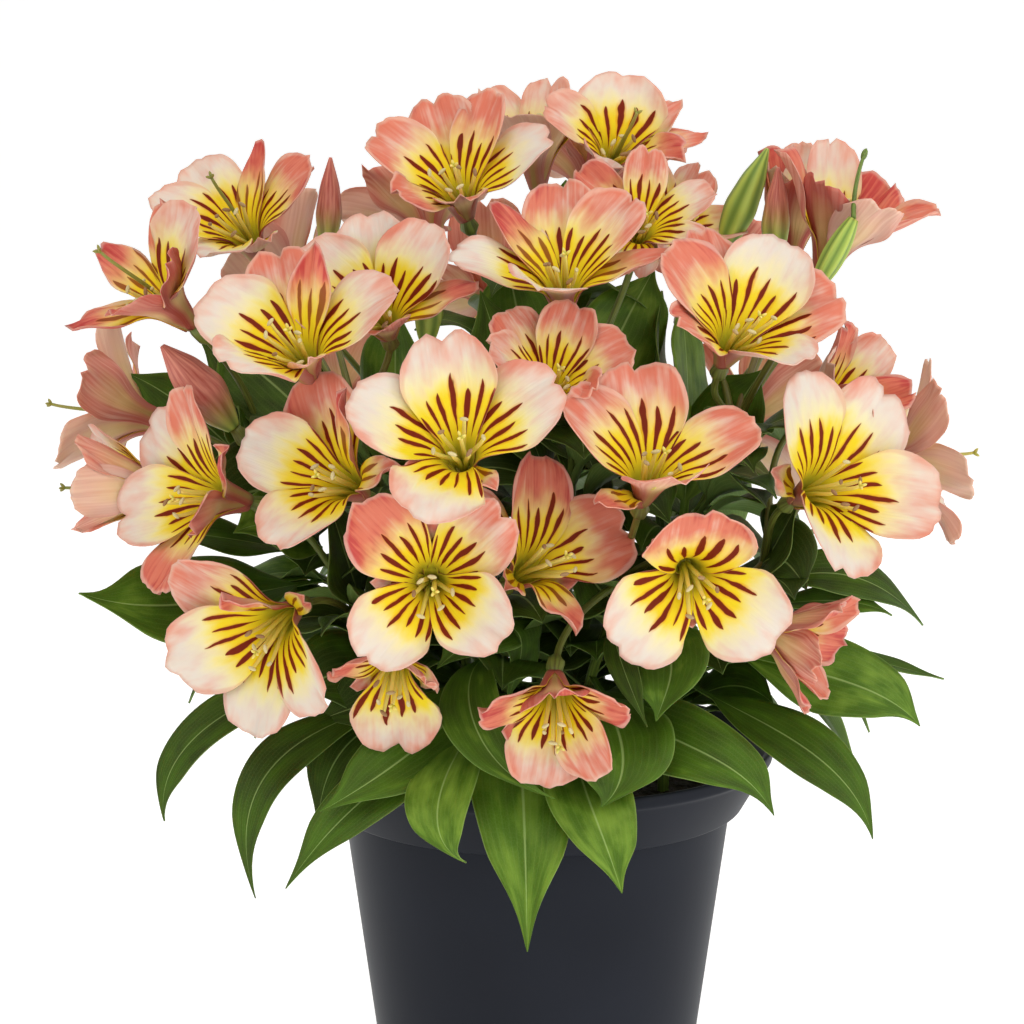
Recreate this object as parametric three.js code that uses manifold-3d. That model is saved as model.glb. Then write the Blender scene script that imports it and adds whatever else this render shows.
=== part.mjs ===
// A potted Peruvian lily: a tapered plastic pot with a flared rim, compost, leafy stems that each end in
// an umbel of pedicels, and the open blooms and closed buds that the pedicels carry.
// Millimetres, +Z up, the front of the plant towards -Y. The origin is the middle of the pot's flat base.
import * as THREE from "three";
import { mergeVertices } from "three/addons/utils/BufferGeometryUtils.js";
import Module from "manifold-3d";

const wasm = await Module();
wasm.setup();

// Pot and compost
const POT_HEIGHT = 150;
const POT_SIDES = 30;
const BASE_RADIUS = 52.5;
const WAIST_RADIUS = 70;
const RIM_HEIGHT = 22;
const RIM_FOOT_RADIUS = 74;
const RIM_TOP_RADIUS = 85;
const WALL = 2;
const FLOOR = 2.5;
const LIP = 2.2;
const LIP_DROP = 1.5;
const LIP_EASE = 0.8;
const LIP_INNER_EASE = 1.2;
const DRAIN_HOLES = 6;
const DRAIN_SIDES = 8;
const DRAIN_RADIUS = 4.5;
const DRAIN_CIRCLE = 36;
const SOIL_TOP = 134;
const SOIL_MOUND = 3;
const SHOULDER_AT = 0.5;
const SHOULDER_RISE = 0.7;
const CLEARANCE = 0.6;
const GAP = 0.3;

const RIM_FOOT_HEIGHT = POT_HEIGHT - RIM_HEIGHT;
const NECK_HEIGHT = RIM_FOOT_HEIGHT - WALL;
const MOUTH_HEIGHT = POT_HEIGHT - WALL;
const MOUTH_RADIUS = RIM_TOP_RADIUS - LIP - LIP_INNER_EASE;

// Stems and pedicels
const STEM_RADIUS = 2.1;
const STEM_FOOT = 96;
const STEM_STRAIGHT_TO = 142;
const STEM_SIDES = 5;
const STEM_SHARES = [0, 0.3, 0.55, 0.78, 1];
const STEM_SHOULDER = 0.55;
const STEM_LEAN = 0.3;
const UMBEL_RADIUS = 1.5;
const PEDICEL_SIDES = 3;
const PEDICEL_RADIUS = 1.2;
const PEDICEL_RISE = 0.35;
const PEDICEL_LEAVES = 0.4;
const PEDICEL_ARRIVES = 0.42;
const OVARY_LENGTH = 9;
const OVARY_MOST = 0.4;
const OVARY_WIDEST = 0.55;
const OVARY_RADIUS = 3.1;
const NECK_RADIUS = 2;

// Leaves
const LEAF_THICKNESS = 1.3;
const LEAF_FOLD = 0.22;
const PETIOLE_HALF = 1.6;
const PETIOLE_TO = 0.16;
const LEAF_ROWS = [0.14, 0.38, 0.62, 0.84];
const SMALL_LEAF_ROWS = [0.16, 0.5, 0.8];
const SMALL_LEAF = 22;
const LEAF_BELLY = 0.85;
const LEAF_FULLNESS = 0.9;
const LEAF_HOOK = 0.5;

// Blooms: shares are of the tepal's length along its curve
const CLAW_ANGLE = 13;
const MOUTH_AT = 0.25;
const SPREAD_FROM = 0.12;
const SPREAD_TO = 0.55;
const OUTER_ANGLE = 66;
const INNER_ANGLE = 57;
const TIP_CURL = 12;
const TIP_CURL_FROM = 0.62;
const FOOT_RADIUS = 2.1;
const WELL_RADIUS = 2.3;
const WELL_AT = 0.09;
const THROAT_AT = 0.15;
const HALF_WIDTH = 0.285;
const CLAW_WIDTH = 0.3;
const WIDENS_FROM = 0.2;
const WIDEST_AT = 0.7;
const TIP_ROUNDNESS = 2.4;
const INNER_CUP = 0.26;
const OUTER_CUP_LOW = 0.04;
const OUTER_CUP_HIGH = 0.2;
const CUP_FROM = 0.5;
const CUP_TO = 0.9;
const TEPAL_THICKNESS = 1.2;
const STAMEN_HEIGHT = 0.48;
const STAMEN_STEP = 0.03;
const STAMEN_LEAN = 2;
const BROAD_ROWS = [0.5, 0.72, 0.9];
const NARROW_ROWS = [0.58, 0.85];
const BROAD = 0.7;
const CURVE_STEPS = 24;
const ROOM = 0.95;
const WIDEST_ROOM = 80;

const UP = new THREE.Vector3(0, 0, 1);
const degrees = THREE.MathUtils.degToRad;
const mix = THREE.MathUtils.lerp;
const vec = (list) => new THREE.Vector3(...list);

// A repeatable number from 0 to 1 for each seed.
function chance(seed) {
  const x = Math.sin(seed * 12.9898) * 43758.5453;
  return x - Math.floor(x);
}

function smooth(low, high, x) {
  const t = THREE.MathUtils.clamp((x - low) / (high - low), 0, 1);
  return t * t * (3 - 2 * t);
}

// A unit vector from an azimuth (0 is to the front, 90 to the right) and a height above the horizon.
function heading(azimuth, elevation) {
  const a = degrees(azimuth);
  const e = degrees(elevation);
  return new THREE.Vector3(Math.sin(a) * Math.cos(e), -Math.cos(a) * Math.cos(e), Math.sin(e));
}

// Meshes and solids
function geometryOf(points, triangles) {
  const geometry = new THREE.BufferGeometry();
  geometry.setAttribute("position", new THREE.Float32BufferAttribute(points.flatMap((p) => p.toArray()), 3));
  geometry.setIndex(triangles.flat());
  return geometry;
}

function solidOf(geometry) {
  const bare = geometry.clone();
  bare.deleteAttribute("normal");
  bare.deleteAttribute("uv");
  const merged = mergeVertices(bare, 1e-3);
  return new wasm.Manifold(
    new wasm.Mesh({
      numProp: 3,
      vertProperties: merged.attributes.position.array,
      triVerts: new Uint32Array(merged.index.array),
    }),
  );
}

function geometryFrom(solid) {
  const mesh = solid.getMesh();
  const geometry = new THREE.BufferGeometry();
  geometry.setAttribute("position", new THREE.BufferAttribute(mesh.vertProperties, 3));
  geometry.setIndex(new THREE.BufferAttribute(mesh.triVerts, 1));
  geometry.computeVertexNormals();
  return geometry;
}

// A closed skin over rings of equal count, with a fan over each end.
function ringSolid(rings) {
  const count = rings[0].length;
  const triangles = [];
  for (let r = 0; r + 1 < rings.length; r++) {
    for (let k = 0; k < count; k++) {
      const a = r * count + k;
      const b = r * count + ((k + 1) % count);
      triangles.push([a, b, b + count], [a, b + count, a + count]);
    }
  }
  const last = (rings.length - 1) * count;
  for (let k = 1; k + 1 < count; k++) {
    triangles.push([0, k + 1, k], [last, last + k, last + k + 1]);
  }
  return geometryOf(rings.flat(), triangles);
}

// The face and the back of a thin blade over its rows of points, closed at the tip.
function bladeSkin(rows, tip) {
  const triangles = [];
  for (let i = 0; i + 1 < rows.length; i++) {
    const [a, b] = [rows[i], rows[i + 1]];
    triangles.push(
      [a.right, b.right, b.face],
      [a.right, b.face, a.face],
      [a.face, b.face, b.left],
      [a.face, b.left, a.left],
      [a.right, b.back, b.right],
      [a.right, a.back, b.back],
      [a.back, b.left, b.back],
      [a.back, a.left, b.left],
    );
  }
  const high = rows[rows.length - 1];
  triangles.push(
    [high.right, tip, high.face],
    [high.face, tip, high.left],
    [high.right, high.back, tip],
    [high.back, high.left, tip],
  );
  return triangles;
}

// A round stalk through the given points, with a radius at each.
function stalk(points, radii, sides) {
  let side = null;
  const rings = points.map((p, i) => {
    const ahead = points[Math.min(i + 1, points.length - 1)];
    const behind = points[Math.max(i - 1, 0)];
    const along = ahead.clone().sub(behind).normalize();
    if (!side) {
      side = Math.abs(along.x) < 0.8 ? new THREE.Vector3(1, 0, 0) : new THREE.Vector3(0, 1, 0);
    }
    side = side.clone().addScaledVector(along, -side.dot(along)).normalize();
    const across = along.clone().cross(side);
    return Array.from({ length: sides }, (_, k) => {
      const turn = (2 * Math.PI * k) / sides;
      return p
        .clone()
        .addScaledVector(side, radii[i] * Math.cos(turn))
        .addScaledVector(across, radii[i] * Math.sin(turn));
    });
  });
  return ringSolid(rings);
}

// The pot: one lathed shell with a flared collar, and drain holes through its floor.
function makePot() {
  const profile = [
    [0, 0],
    [BASE_RADIUS, 0],
    [WAIST_RADIUS, RIM_FOOT_HEIGHT],
    [RIM_FOOT_RADIUS, RIM_FOOT_HEIGHT],
    [RIM_TOP_RADIUS, POT_HEIGHT - LIP_DROP],
    [RIM_TOP_RADIUS - LIP_EASE, POT_HEIGHT],
    [RIM_TOP_RADIUS - LIP, POT_HEIGHT],
    [MOUTH_RADIUS, MOUTH_HEIGHT],
    [WAIST_RADIUS - WALL, NECK_HEIGHT],
    [BASE_RADIUS - WALL, FLOOR],
    [0, FLOOR],
  ].map(([r, z]) => new THREE.Vector2(r, z));
  const shell = new THREE.LatheGeometry(profile, POT_SIDES).rotateX(Math.PI / 2);
  let pot = solidOf(shell);
  for (let k = 0; k < DRAIN_HOLES; k++) {
    const turn = (2 * Math.PI * k) / DRAIN_HOLES;
    const hole = new THREE.CylinderGeometry(DRAIN_RADIUS, DRAIN_RADIUS, 4 * FLOOR, DRAIN_SIDES)
      .rotateX(Math.PI / 2)
      .translate(DRAIN_CIRCLE * Math.cos(turn), DRAIN_CIRCLE * Math.sin(turn), 0);
    pot = pot.subtract(solidOf(hole));
  }
  return pot;
}

// The inner radius of the pot at a height.
function insideRadius(z) {
  if (z < NECK_HEIGHT) {
    return mix(BASE_RADIUS, WAIST_RADIUS, (z - FLOOR) / (NECK_HEIGHT - FLOOR)) - WALL;
  }
  return mix(WAIST_RADIUS - WALL, MOUTH_RADIUS, (z - NECK_HEIGHT) / (MOUTH_HEIGHT - NECK_HEIGHT));
}

// The compost fills the pot to below the lip, with a plain hole for each stem.
function makeSoil(stems) {
  const profile = [
    [0, FLOOR + GAP],
    [insideRadius(FLOOR + GAP) - CLEARANCE, FLOOR + GAP],
    [insideRadius(NECK_HEIGHT) - CLEARANCE, NECK_HEIGHT],
    [insideRadius(SOIL_TOP) - CLEARANCE, SOIL_TOP],
    [SHOULDER_AT * insideRadius(SOIL_TOP), SOIL_TOP + SHOULDER_RISE * SOIL_MOUND],
    [0, SOIL_TOP + SOIL_MOUND],
  ].map(([r, z]) => new THREE.Vector2(r, z));
  let soil = solidOf(new THREE.LatheGeometry(profile, POT_SIDES).rotateX(Math.PI / 2));
  const radius = STEM_RADIUS + CLEARANCE;
  const depth = POT_HEIGHT - STEM_FOOT + GAP;
  for (const stem of stems) {
    const hole = new THREE.CylinderGeometry(radius, radius, depth, STEM_SIDES)
      .rotateX(Math.PI / 2)
      .translate(stem.foot[0], stem.foot[1], STEM_FOOT - GAP + depth / 2);
    soil = soil.subtract(solidOf(hole));
  }
  return soil;
}

// Where a tepal's middle line runs: out from the axis, up the axis, and its slope from the axis.
function tepalLine(bloom, k) {
  const [, , bend = 1] = bloom.tepals[k];
  const spread = (k % 2 ? INNER_ANGLE : OUTER_ANGLE) * bloom.open * bend;
  const curl = TIP_CURL * bloom.open * bend;
  const slopeAt = (s) =>
    degrees(
      mix(CLAW_ANGLE, spread, smooth(SPREAD_FROM, SPREAD_TO, s)) + curl * smooth(TIP_CURL_FROM, 1, s),
    );
  return (s) => {
    const step = (s * bloom.length) / CURVE_STEPS;
    let out = FOOT_RADIUS;
    let up = 0;
    for (let i = 0; i < CURVE_STEPS; i++) {
      const slope = slopeAt((s * (i + 0.5)) / CURVE_STEPS);
      out += Math.sin(slope) * step;
      up += Math.cos(slope) * step;
    }
    return { out, up, slope: slopeAt(s) };
  };
}

// Half the tepal's width at share s of its length.
function tepalHalfWidth(bloom, k, s) {
  const [, width] = bloom.tepals[k];
  const claw = mix(CLAW_WIDTH, 1, smooth(WIDENS_FROM, WIDEST_AT, s));
  const t = Math.max(0, (s - WIDEST_AT) / (1 - WIDEST_AT));
  return HALF_WIDTH * bloom.length * width * claw * Math.sqrt(1 - t ** TIP_ROUNDNESS);
}

// How far the tepal's edge is lifted towards the axis, as a share of its half width.
function tepalCup(k, s) {
  return k % 2 ? INNER_CUP : mix(OUTER_CUP_LOW, OUTER_CUP_HIGH, smooth(CUP_FROM, CUP_TO, s));
}

// The bloom's own axes: out of its face, and to the right and to the top for one who looks into it.
function bloomAxes(bloom) {
  const axis = heading(...bloom.face);
  const top = UP.clone().addScaledVector(axis, -UP.dot(axis)).normalize();
  const right = top.clone().cross(axis);
  const base = vec(bloom.throat).addScaledVector(axis, -THROAT_AT * bloom.length);
  return { axis, top, right, base };
}

// A point of the bloom from its distance out, its height up the axis, its angle round it, and a step aside.
function bloomPoint(axes, out, up, angle, aside = 0) {
  const a = degrees(angle);
  return axes.base
    .clone()
    .addScaledVector(axes.axis, up)
    .addScaledVector(axes.right, out * Math.cos(a) - aside * Math.sin(a))
    .addScaledVector(axes.top, out * Math.sin(a) + aside * Math.cos(a));
}

// Six tepals that grow together into one funnel and part at its mouth, as one closed skin.
function makeBloom(bloom) {
  const axes = bloomAxes(bloom);
  const { length, tepals, roll } = bloom;
  const count = tepals.length;
  const points = [];
  const triangles = [];
  const put = (p) => points.push(p) - 1;
  const angles = tepals.map(([angle]) => angle + roll);
  const notches = angles.map((angle, k) => {
    const step = angles[(k + 1) % count] - angle;
    return angle + THREE.MathUtils.euclideanModulo(step, 360) / 2;
  });
  const wall = TEPAL_THICKNESS / 2;
  const mouth = tepalLine(bloom, 0)(MOUTH_AT);
  const foot = notches.map((a) => put(bloomPoint(axes, FOOT_RADIUS, 0, a)));
  const well = notches.map((a) => put(bloomPoint(axes, WELL_RADIUS, WELL_AT * length, a)));
  const notchIn = notches.map((a) => put(bloomPoint(axes, mouth.out - wall, mouth.up, a)));
  const notchOut = notches.map((a) => put(bloomPoint(axes, mouth.out + wall, mouth.up - wall, a)));
  for (let k = 0; k < count; k++) {
    const r = (k + count - 1) % count;
    const line = tepalLine(bloom, k);
    // a point of the blade at share s, aside from its middle line and raised off it
    const place = (s, aside, raise) => {
      const at = line(s);
      const out = at.out - raise * Math.cos(at.slope);
      const up = at.up + raise * Math.sin(at.slope);
      return put(bloomPoint(axes, out, up, angles[k], aside));
    };
    // an edge stops short of the line midway to the next tepal, so that no two blades cross
    const edge = (s, side, midway) => {
      const at = line(s);
      const cup = tepalCup(k, s);
      const slant = ROOM * Math.tan(degrees(Math.min(midway, WIDEST_ROOM)));
      const room = (slant * at.out) / (1 + slant * cup * Math.cos(at.slope));
      const half = Math.min(tepalHalfWidth(bloom, k, s), room);
      return place(s, side * half, cup * half);
    };
    const toLeft = THREE.MathUtils.euclideanModulo(notches[k] - angles[k], 360);
    const toRight = THREE.MathUtils.euclideanModulo(angles[k] - notches[r], 360);
    const rows = (tepals[k][1] > BROAD ? BROAD_ROWS : NARROW_ROWS).map((s) => ({
      right: edge(s, -1, toRight),
      left: edge(s, 1, toLeft),
      face: place(s, 0, wall),
      back: place(s, 0, -wall),
    }));
    const tip = place(1, 0, 0);
    const mouthIn = place(MOUTH_AT, 0, wall);
    const mouthOut = place(MOUTH_AT, 0, -wall);
    const low = rows[0];
    // the funnel's outer and inner wall, and the notch on each side of the blade
    triangles.push(
      [foot[r], foot[k], mouthOut],
      [foot[r], mouthOut, notchOut[r]],
      [foot[k], notchOut[k], mouthOut],
      [well[r], mouthIn, well[k]],
      [well[r], notchIn[r], mouthIn],
      [well[k], mouthIn, notchIn[k]],
      [notchIn[r], notchOut[r], low.right],
      [notchIn[k], low.left, notchOut[k]],
    );
    // from the mouth to the first row, the face and then the back, and on to the tip
    triangles.push(
      [notchIn[r], low.right, low.face],
      [notchIn[r], low.face, mouthIn],
      [mouthIn, low.face, low.left],
      [mouthIn, low.left, notchIn[k]],
      [notchOut[r], low.back, low.right],
      [notchOut[r], mouthOut, low.back],
      [mouthOut, low.left, low.back],
      [mouthOut, notchOut[k], low.left],
    );
    triangles.push(...bladeSkin(rows, tip));
  }
  // the stamens and the style, as spikes raised from the triangles of the throat's floor
  const floor = bloomPoint(axes, 0, WELL_AT * length, 0);
  for (let i = 1; i + 1 < count; i++) {
    const [a, b, c] = [well[0], well[i], well[i + 1]];
    const middle = points[a].clone().add(points[b]).add(points[c]).divideScalar(3);
    const lean = middle.clone().sub(floor).multiplyScalar(STAMEN_LEAN * bloom.open);
    const apex = put(middle.add(lean).addScaledVector(axes.axis, (STAMEN_HEIGHT - STAMEN_STEP * i) * length));
    triangles.push([foot[0], foot[i + 1], foot[i]], [a, b, apex], [b, c, apex], [c, a, apex]);
  }
  return solidOf(geometryOf(points, triangles));
}

// A closed bud is six low ribs wrapped to a point: its shares of the length and of the radius.
const BUD_SIDES = 6;
const BUD_PROFILE = [
  [0, 0.34],
  [0.16, 0.72],
  [0.42, 1],
  [0.72, 0.72],
  [1, 0.12],
];

function budAxis(bud) {
  return { base: vec(bud.base), axis: heading(...bud.face) };
}

function makeBud(bud) {
  const { base, axis } = budAxis(bud);
  const [length, radius] = bud.size;
  const points = BUD_PROFILE.map(([s]) => base.clone().addScaledVector(axis, s * length));
  return solidOf(stalk(points, BUD_PROFILE.map(([, r]) => r * radius), BUD_SIDES));
}

// A stem's line: straight up through the compost, then in one curve to its umbel.
function stemCurve(stem) {
  const foot = new THREE.Vector3(stem.foot[0], stem.foot[1], STEM_STRAIGHT_TO);
  const top = vec(stem.umbel);
  const rise = top.z - foot.z;
  const shoulder = foot.clone().addScaledVector(UP, STEM_SHOULDER * rise);
  const lean = top.clone().sub(foot).setZ(0);
  const below = top.clone().addScaledVector(lean, -STEM_LEAN).addScaledVector(UP, -STEM_LEAN * rise);
  return new THREE.CubicBezierCurve3(foot, shoulder, below, top);
}

// A pedicel's line from the umbel to the foot of what it carries, which it meets square on.
function pedicelCurve(stem, carried) {
  const start = vec(stem.umbel);
  const end = carried.base.clone().addScaledVector(carried.axis, -GAP);
  const reach = start.distanceTo(end);
  const out = end.clone().sub(start).normalize().addScaledVector(UP, PEDICEL_RISE).normalize();
  return new THREE.CubicBezierCurve3(
    start,
    start.clone().addScaledVector(out, PEDICEL_LEAVES * reach),
    end.clone().addScaledVector(carried.axis, -PEDICEL_ARRIVES * reach),
    end,
  );
}

function makePedicel(stem, carried) {
  const curve = pedicelCurve(stem, carried);
  const ovary = Math.min(OVARY_MOST, OVARY_LENGTH / curve.getLength());
  const shares = [0, (1 - ovary) / 2, 1 - ovary, 1 - OVARY_WIDEST * ovary, 1];
  const radii = [UMBEL_RADIUS, PEDICEL_RADIUS, PEDICEL_RADIUS, OVARY_RADIUS, NECK_RADIUS];
  return stalk(shares.map((s) => curve.getPointAt(s)), radii, PEDICEL_SIDES);
}

// Half a leaf's width at share t of its length: a narrow petiole, then a lance-shaped blade.
function leafHalfWidth(leaf, t) {
  const blade = Math.max(0, (t - PETIOLE_TO) / (1 - PETIOLE_TO));
  const oval = Math.sin(Math.PI * blade ** LEAF_BELLY) ** LEAF_FULLNESS;
  return Math.max(t < 0.5 ? PETIOLE_HALF : 0, (oval * leaf.width) / 2);
}

// A leaf arches from the middle of its stem to its tip, folded up a little along its middle line.
function makeLeaf(stem, leaf) {
  const root = stemCurve(stem).getPoint(leaf.at);
  const tip = vec(leaf.tip);
  const control = root.clone().lerp(tip, leaf.hook ?? LEAF_HOOK).setZ(root.z + leaf.arch);
  const curve = new THREE.QuadraticBezierCurve3(root, control, tip);
  const across = tip.clone().sub(root).cross(UP).normalize();
  const points = [root];
  const rows = (leaf.width > SMALL_LEAF ? LEAF_ROWS : SMALL_LEAF_ROWS).map((t) => {
    const along = curve.getTangent(t);
    const side = across.clone().applyAxisAngle(along, degrees(leaf.roll * t));
    const normal = side.clone().cross(along);
    const half = leafHalfWidth(leaf, t);
    const middle = curve.getPoint(t);
    const edge = (sign) => {
      return middle.clone().addScaledVector(side, sign * half).addScaledVector(normal, LEAF_FOLD * half);
    };
    points.push(edge(1), edge(-1), middle, middle.clone().addScaledVector(normal, -LEAF_THICKNESS));
    const last = points.length - 1;
    return { right: last - 3, left: last - 2, face: last - 1, back: last };
  });
  points.push(tip);
  const low = rows[0];
  const triangles = [
    [0, low.right, low.face],
    [0, low.face, low.left],
    [0, low.back, low.right],
    [0, low.left, low.back],
    ...bladeSkin(rows, points.length - 1),
  ];
  return geometryOf(points, triangles);
}

function makeStem(stem, carried, leaves) {
  const curve = stemCurve(stem);
  const points = [new THREE.Vector3(stem.foot[0], stem.foot[1], STEM_FOOT)];
  for (const s of STEM_SHARES) {
    points.push(curve.getPoint(s));
  }
  const radii = points.map((_, i) => mix(STEM_RADIUS, UMBEL_RADIUS, i / (points.length - 1)));
  const parts = [
    stalk(points, radii, STEM_SIDES),
    ...carried.map((c) => makePedicel(stem, c)),
    ...leaves.map((leaf) => makeLeaf(stem, leaf)),
  ];
  return wasm.Manifold.union(parts.map(solidOf));
}

// Stems: where each stands in the compost and where its umbel is
const STEMS = {
  front_centre: { foot: [-8, -30], umbel: [-22, -72, 222] },
  front_right: { foot: [15, -28], umbel: [28, -66, 222] },
  front_left: { foot: [-30, -18], umbel: [-60, -50, 205] },
  left: { foot: [-45, 5], umbel: [-92, 1, 240] },
  upper_left: { foot: [-22, 0], umbel: [-62, -40, 268] },
  top: { foot: [0, 10], umbel: [0, 6, 305] },
  upper_middle: { foot: [10, -6], umbel: [12, -42, 272] },
  upper_right: { foot: [32, -2], umbel: [68, -22, 265] },
  right: { foot: [45, -15], umbel: [78, -35, 222] },
  back_left: { foot: [-20, 30], umbel: [-48, 52, 250] },
  back_middle: { foot: [5, 38], umbel: [5, 62, 262] },
  back_right: { foot: [30, 28], umbel: [58, 50, 248] },
};

// Tepals as [angle anticlockwise from the right, width], the outer three and the inner three in turn
const SIX = [[0, 0.8], [60, 0.75], [120, 0.8], [180, 0.75], [240, 0.8], [300, 0.75]];
const FOUR = [[28, 1], [100, 1], [162, 0.95], [210, 0.4], [257, 1], [310, 0.4]];
const SQUARE = [[38, 1], [88, 0.5], [135, 1], [183, 0.5], [235, 1], [320, 1]];
const THREE_BROAD = [[85, 1.05], [150, 0.5], [222, 1.05], [272, 0.45], [325, 1.05], [20, 0.5]];
const FIVE = [[40, 0.45], [95, 0.5], [150, 0.9], [198, 1], [262, 1], [325, 0.9]];

const BLOOMS = [
  {
    name: "centre", stem: "front_centre", throat: [-25, -118, 272], face: [-5, 38], length: 47,
    tepals: FOUR,
  },
  {
    name: "left_centre", stem: "front_centre", throat: [-61, -100, 260], face: [-35, 30], length: 44,
    tepals: [[20, 0.5], [75, 0.6], [118, 1], [172, 1], [225, 0.4], [272, 1]],
  },
  {
    name: "lower_centre", stem: "front_centre", throat: [-35, -120, 233], face: [0, 12], length: 42,
    tepals: SQUARE,
  },
  {
    name: "lower_right_centre", stem: "front_centre", throat: [-5, -100, 232], face: [38, 34], length: 44,
    tepals: [[8, 1.05], [80, 1], [145, 0.8], [205, 0.5], [268, 0.55], [315, 0.45]],
  },
  {
    name: "right_low", stem: "front_right", throat: [48, -105, 234], face: [8, -5], length: 44,
    tepals: THREE_BROAD,
  },
  {
    name: "left_low", stem: "front_left", throat: [-84, -90, 215], face: [-28, -10], length: 46,
    tepals: FIVE,
  },
  {
    name: "left_middle", stem: "front_left", throat: [-104, -62, 250], face: [-55, 15], length: 47,
    tepals: [[20, 0.5], [95, 0.8], [150, 1], [210, 1], [265, 0.7], [320, 0.5]],
  },
  {
    name: "left_top_side", stem: "left", throat: [-115, -46, 310], face: [-60, 28], length: 44,
    tepals: SIX, roll: 20,
  },
  {
    name: "left_upper", stem: "upper_left", throat: [-101, -2, 331], face: [-30, 50], length: 42,
    tepals: SIX, roll: 40,
  },
  {
    name: "upper_left_centre", stem: "upper_left", throat: [-51, -62, 317], face: [-10, 55], length: 44,
    tepals: [[5, 0.55], [60, 0.9], [110, 0.9], [160, 1], [225, 0.6], [290, 0.8]],
  },
  {
    name: "upper_left_front", stem: "upper_left", throat: [-76, -92, 299], face: [-20, 48], length: 46,
    tepals: [[20, 1], [75, 0.55], [115, 0.95], [172, 1], [250, 0.8], [310, 0.5]],
  },
  {
    name: "top_left", stem: "top", throat: [-26, -19, 353], face: [-15, 52], length: 48,
    tepals: [[20, 1], [75, 0.7], [115, 0.8], [165, 0.7], [225, 0.6], [290, 0.8]],
  },
  {
    name: "top_middle", stem: "top", throat: [0, 33, 353], face: [-20, 68], length: 42,
    tepals: SIX, roll: 30,
  },
  {
    name: "top_right", stem: "top", throat: [26, 3, 363], face: [15, 45], length: 44,
    tepals: SIX, roll: 30,
  },
  {
    name: "upper_middle", stem: "upper_middle", throat: [8, -68, 319], face: [-5, 55], length: 46,
    tepals: [[5, 0.8], [50, 0.7], [95, 0.8], [140, 0.6], [195, 0.8], [285, 0.7]],
  },
  {
    name: "middle", stem: "upper_middle", throat: [3, -90, 289], face: [8, 46], length: 36,
    tepals: [[20, 1], [75, 0.6], [125, 0.8], [175, 0.8], [235, 0.5], [300, 0.6]],
  },
  {
    name: "right_upper", stem: "upper_right", throat: [63, -75, 302], face: [22, 45], length: 47,
    tepals: [[10, 0.95], [60, 1], [105, 0.85], [145, 0.95], [215, 0.4], [280, 0.8]],
  },
  {
    name: "middle_right", stem: "front_right", throat: [34, -112, 262], face: [12, 48], length: 47,
    tepals: [[8, 0.8], [55, 0.5], [95, 1], [155, 1], [215, 0.4], [275, 0.8]],
  },
  {
    name: "right_big", stem: "right", throat: [90, -70, 253], face: [35, 25], length: 51,
    tepals: [[45, 1], [105, 1], [165, 0.4], [248, 1], [290, 0.4], [335, 1]],
  },
  {
    name: "right_behind", stem: "right", throat: [122, -15, 256], face: [95, 10], length: 44,
    tepals: SIX, roll: 15,
  },
  {
    name: "right_shoulder", stem: "right", throat: [102, -32, 280], face: [60, 35], length: 40,
    tepals: SIX, roll: 35, open: 0.6,
  },
  {
    name: "trumpet_back", stem: "upper_right", throat: [92, 22, 331], face: [20, 72], length: 42,
    tepals: SIX, roll: 10, open: 0.55,
  },
  {
    name: "trumpet_front", stem: "upper_right", throat: [108, -15, 333], face: [50, 48], length: 44,
    tepals: SIX, roll: 25, open: 0.75,
  },
  {
    name: "upper_behind", stem: "upper_middle", throat: [34, -34, 336], face: [5, 42], length: 34,
    tepals: SIX, roll: 20,
  },
  {
    name: "upper_right_behind", stem: "top", throat: [44, 4, 332], face: [38, 38], length: 34,
    tepals: SIX, roll: 45,
  },
  {
    name: "left_side_upper", stem: "left", throat: [-137, 5, 269], face: [-100, 12], length: 46,
    tepals: SIX, roll: 30,
  },
  {
    name: "left_side_lower", stem: "left", throat: [-130, -38, 250], face: [-92, 0], length: 40,
    tepals: SIX, roll: 0, open: 0.5,
  },
  {
    name: "low_left_small", stem: "front_left", throat: [-43, -105, 200], face: [-10, -35], length: 36,
    tepals: [[20, 0.5], [80, 0.6], [150, 0.7], [220, 0.8], [275, 1.1], [330, 0.7]],
  },
  {
    name: "nodding", stem: "front_right", throat: [5, -112, 195], face: [0, -22], length: 40,
    tepals: [[20, 0.8], [80, 0.9], [150, 0.8], [215, 0.8], [270, 0.9], [320, 0.7]], open: 0.8,
  },
  {
    name: "right_low_behind", stem: "right", throat: [76, -80, 208], face: [42, -10], length: 38,
    tepals: SIX,
  },
  {
    name: "back_left_low", stem: "back_left", throat: [-75, 88, 258], face: [-142, 18], length: 48,
    tepals: SQUARE,
  },
  {
    name: "back_left_side", stem: "back_left", throat: [-88, 48, 304], face: [-118, 40], length: 47,
    tepals: FOUR,
  },
  {
    name: "back_left_high", stem: "back_left", throat: [-40, 60, 328], face: [-160, 52], length: 44,
    tepals: FIVE,
  },
  {
    name: "back_middle_low", stem: "back_middle", throat: [4, 114, 250], face: [178, 8], length: 49,
    tepals: FOUR,
  },
  {
    name: "back_middle_high", stem: "back_middle", throat: [20, 58, 342], face: [165, 58], length: 46,
    tepals: SQUARE,
  },
  {
    name: "back_middle", stem: "back_middle", throat: [-16, 102, 298], face: [-172, 35], length: 47,
    tepals: THREE_BROAD,
  },
  {
    name: "back_right_low", stem: "back_right", throat: [78, 86, 252], face: [140, 15], length: 48,
    tepals: FIVE,
  },
  {
    name: "back_right_side", stem: "back_right", throat: [60, 84, 302], face: [145, 42], length: 47,
    tepals: SQUARE,
  },
];

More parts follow.
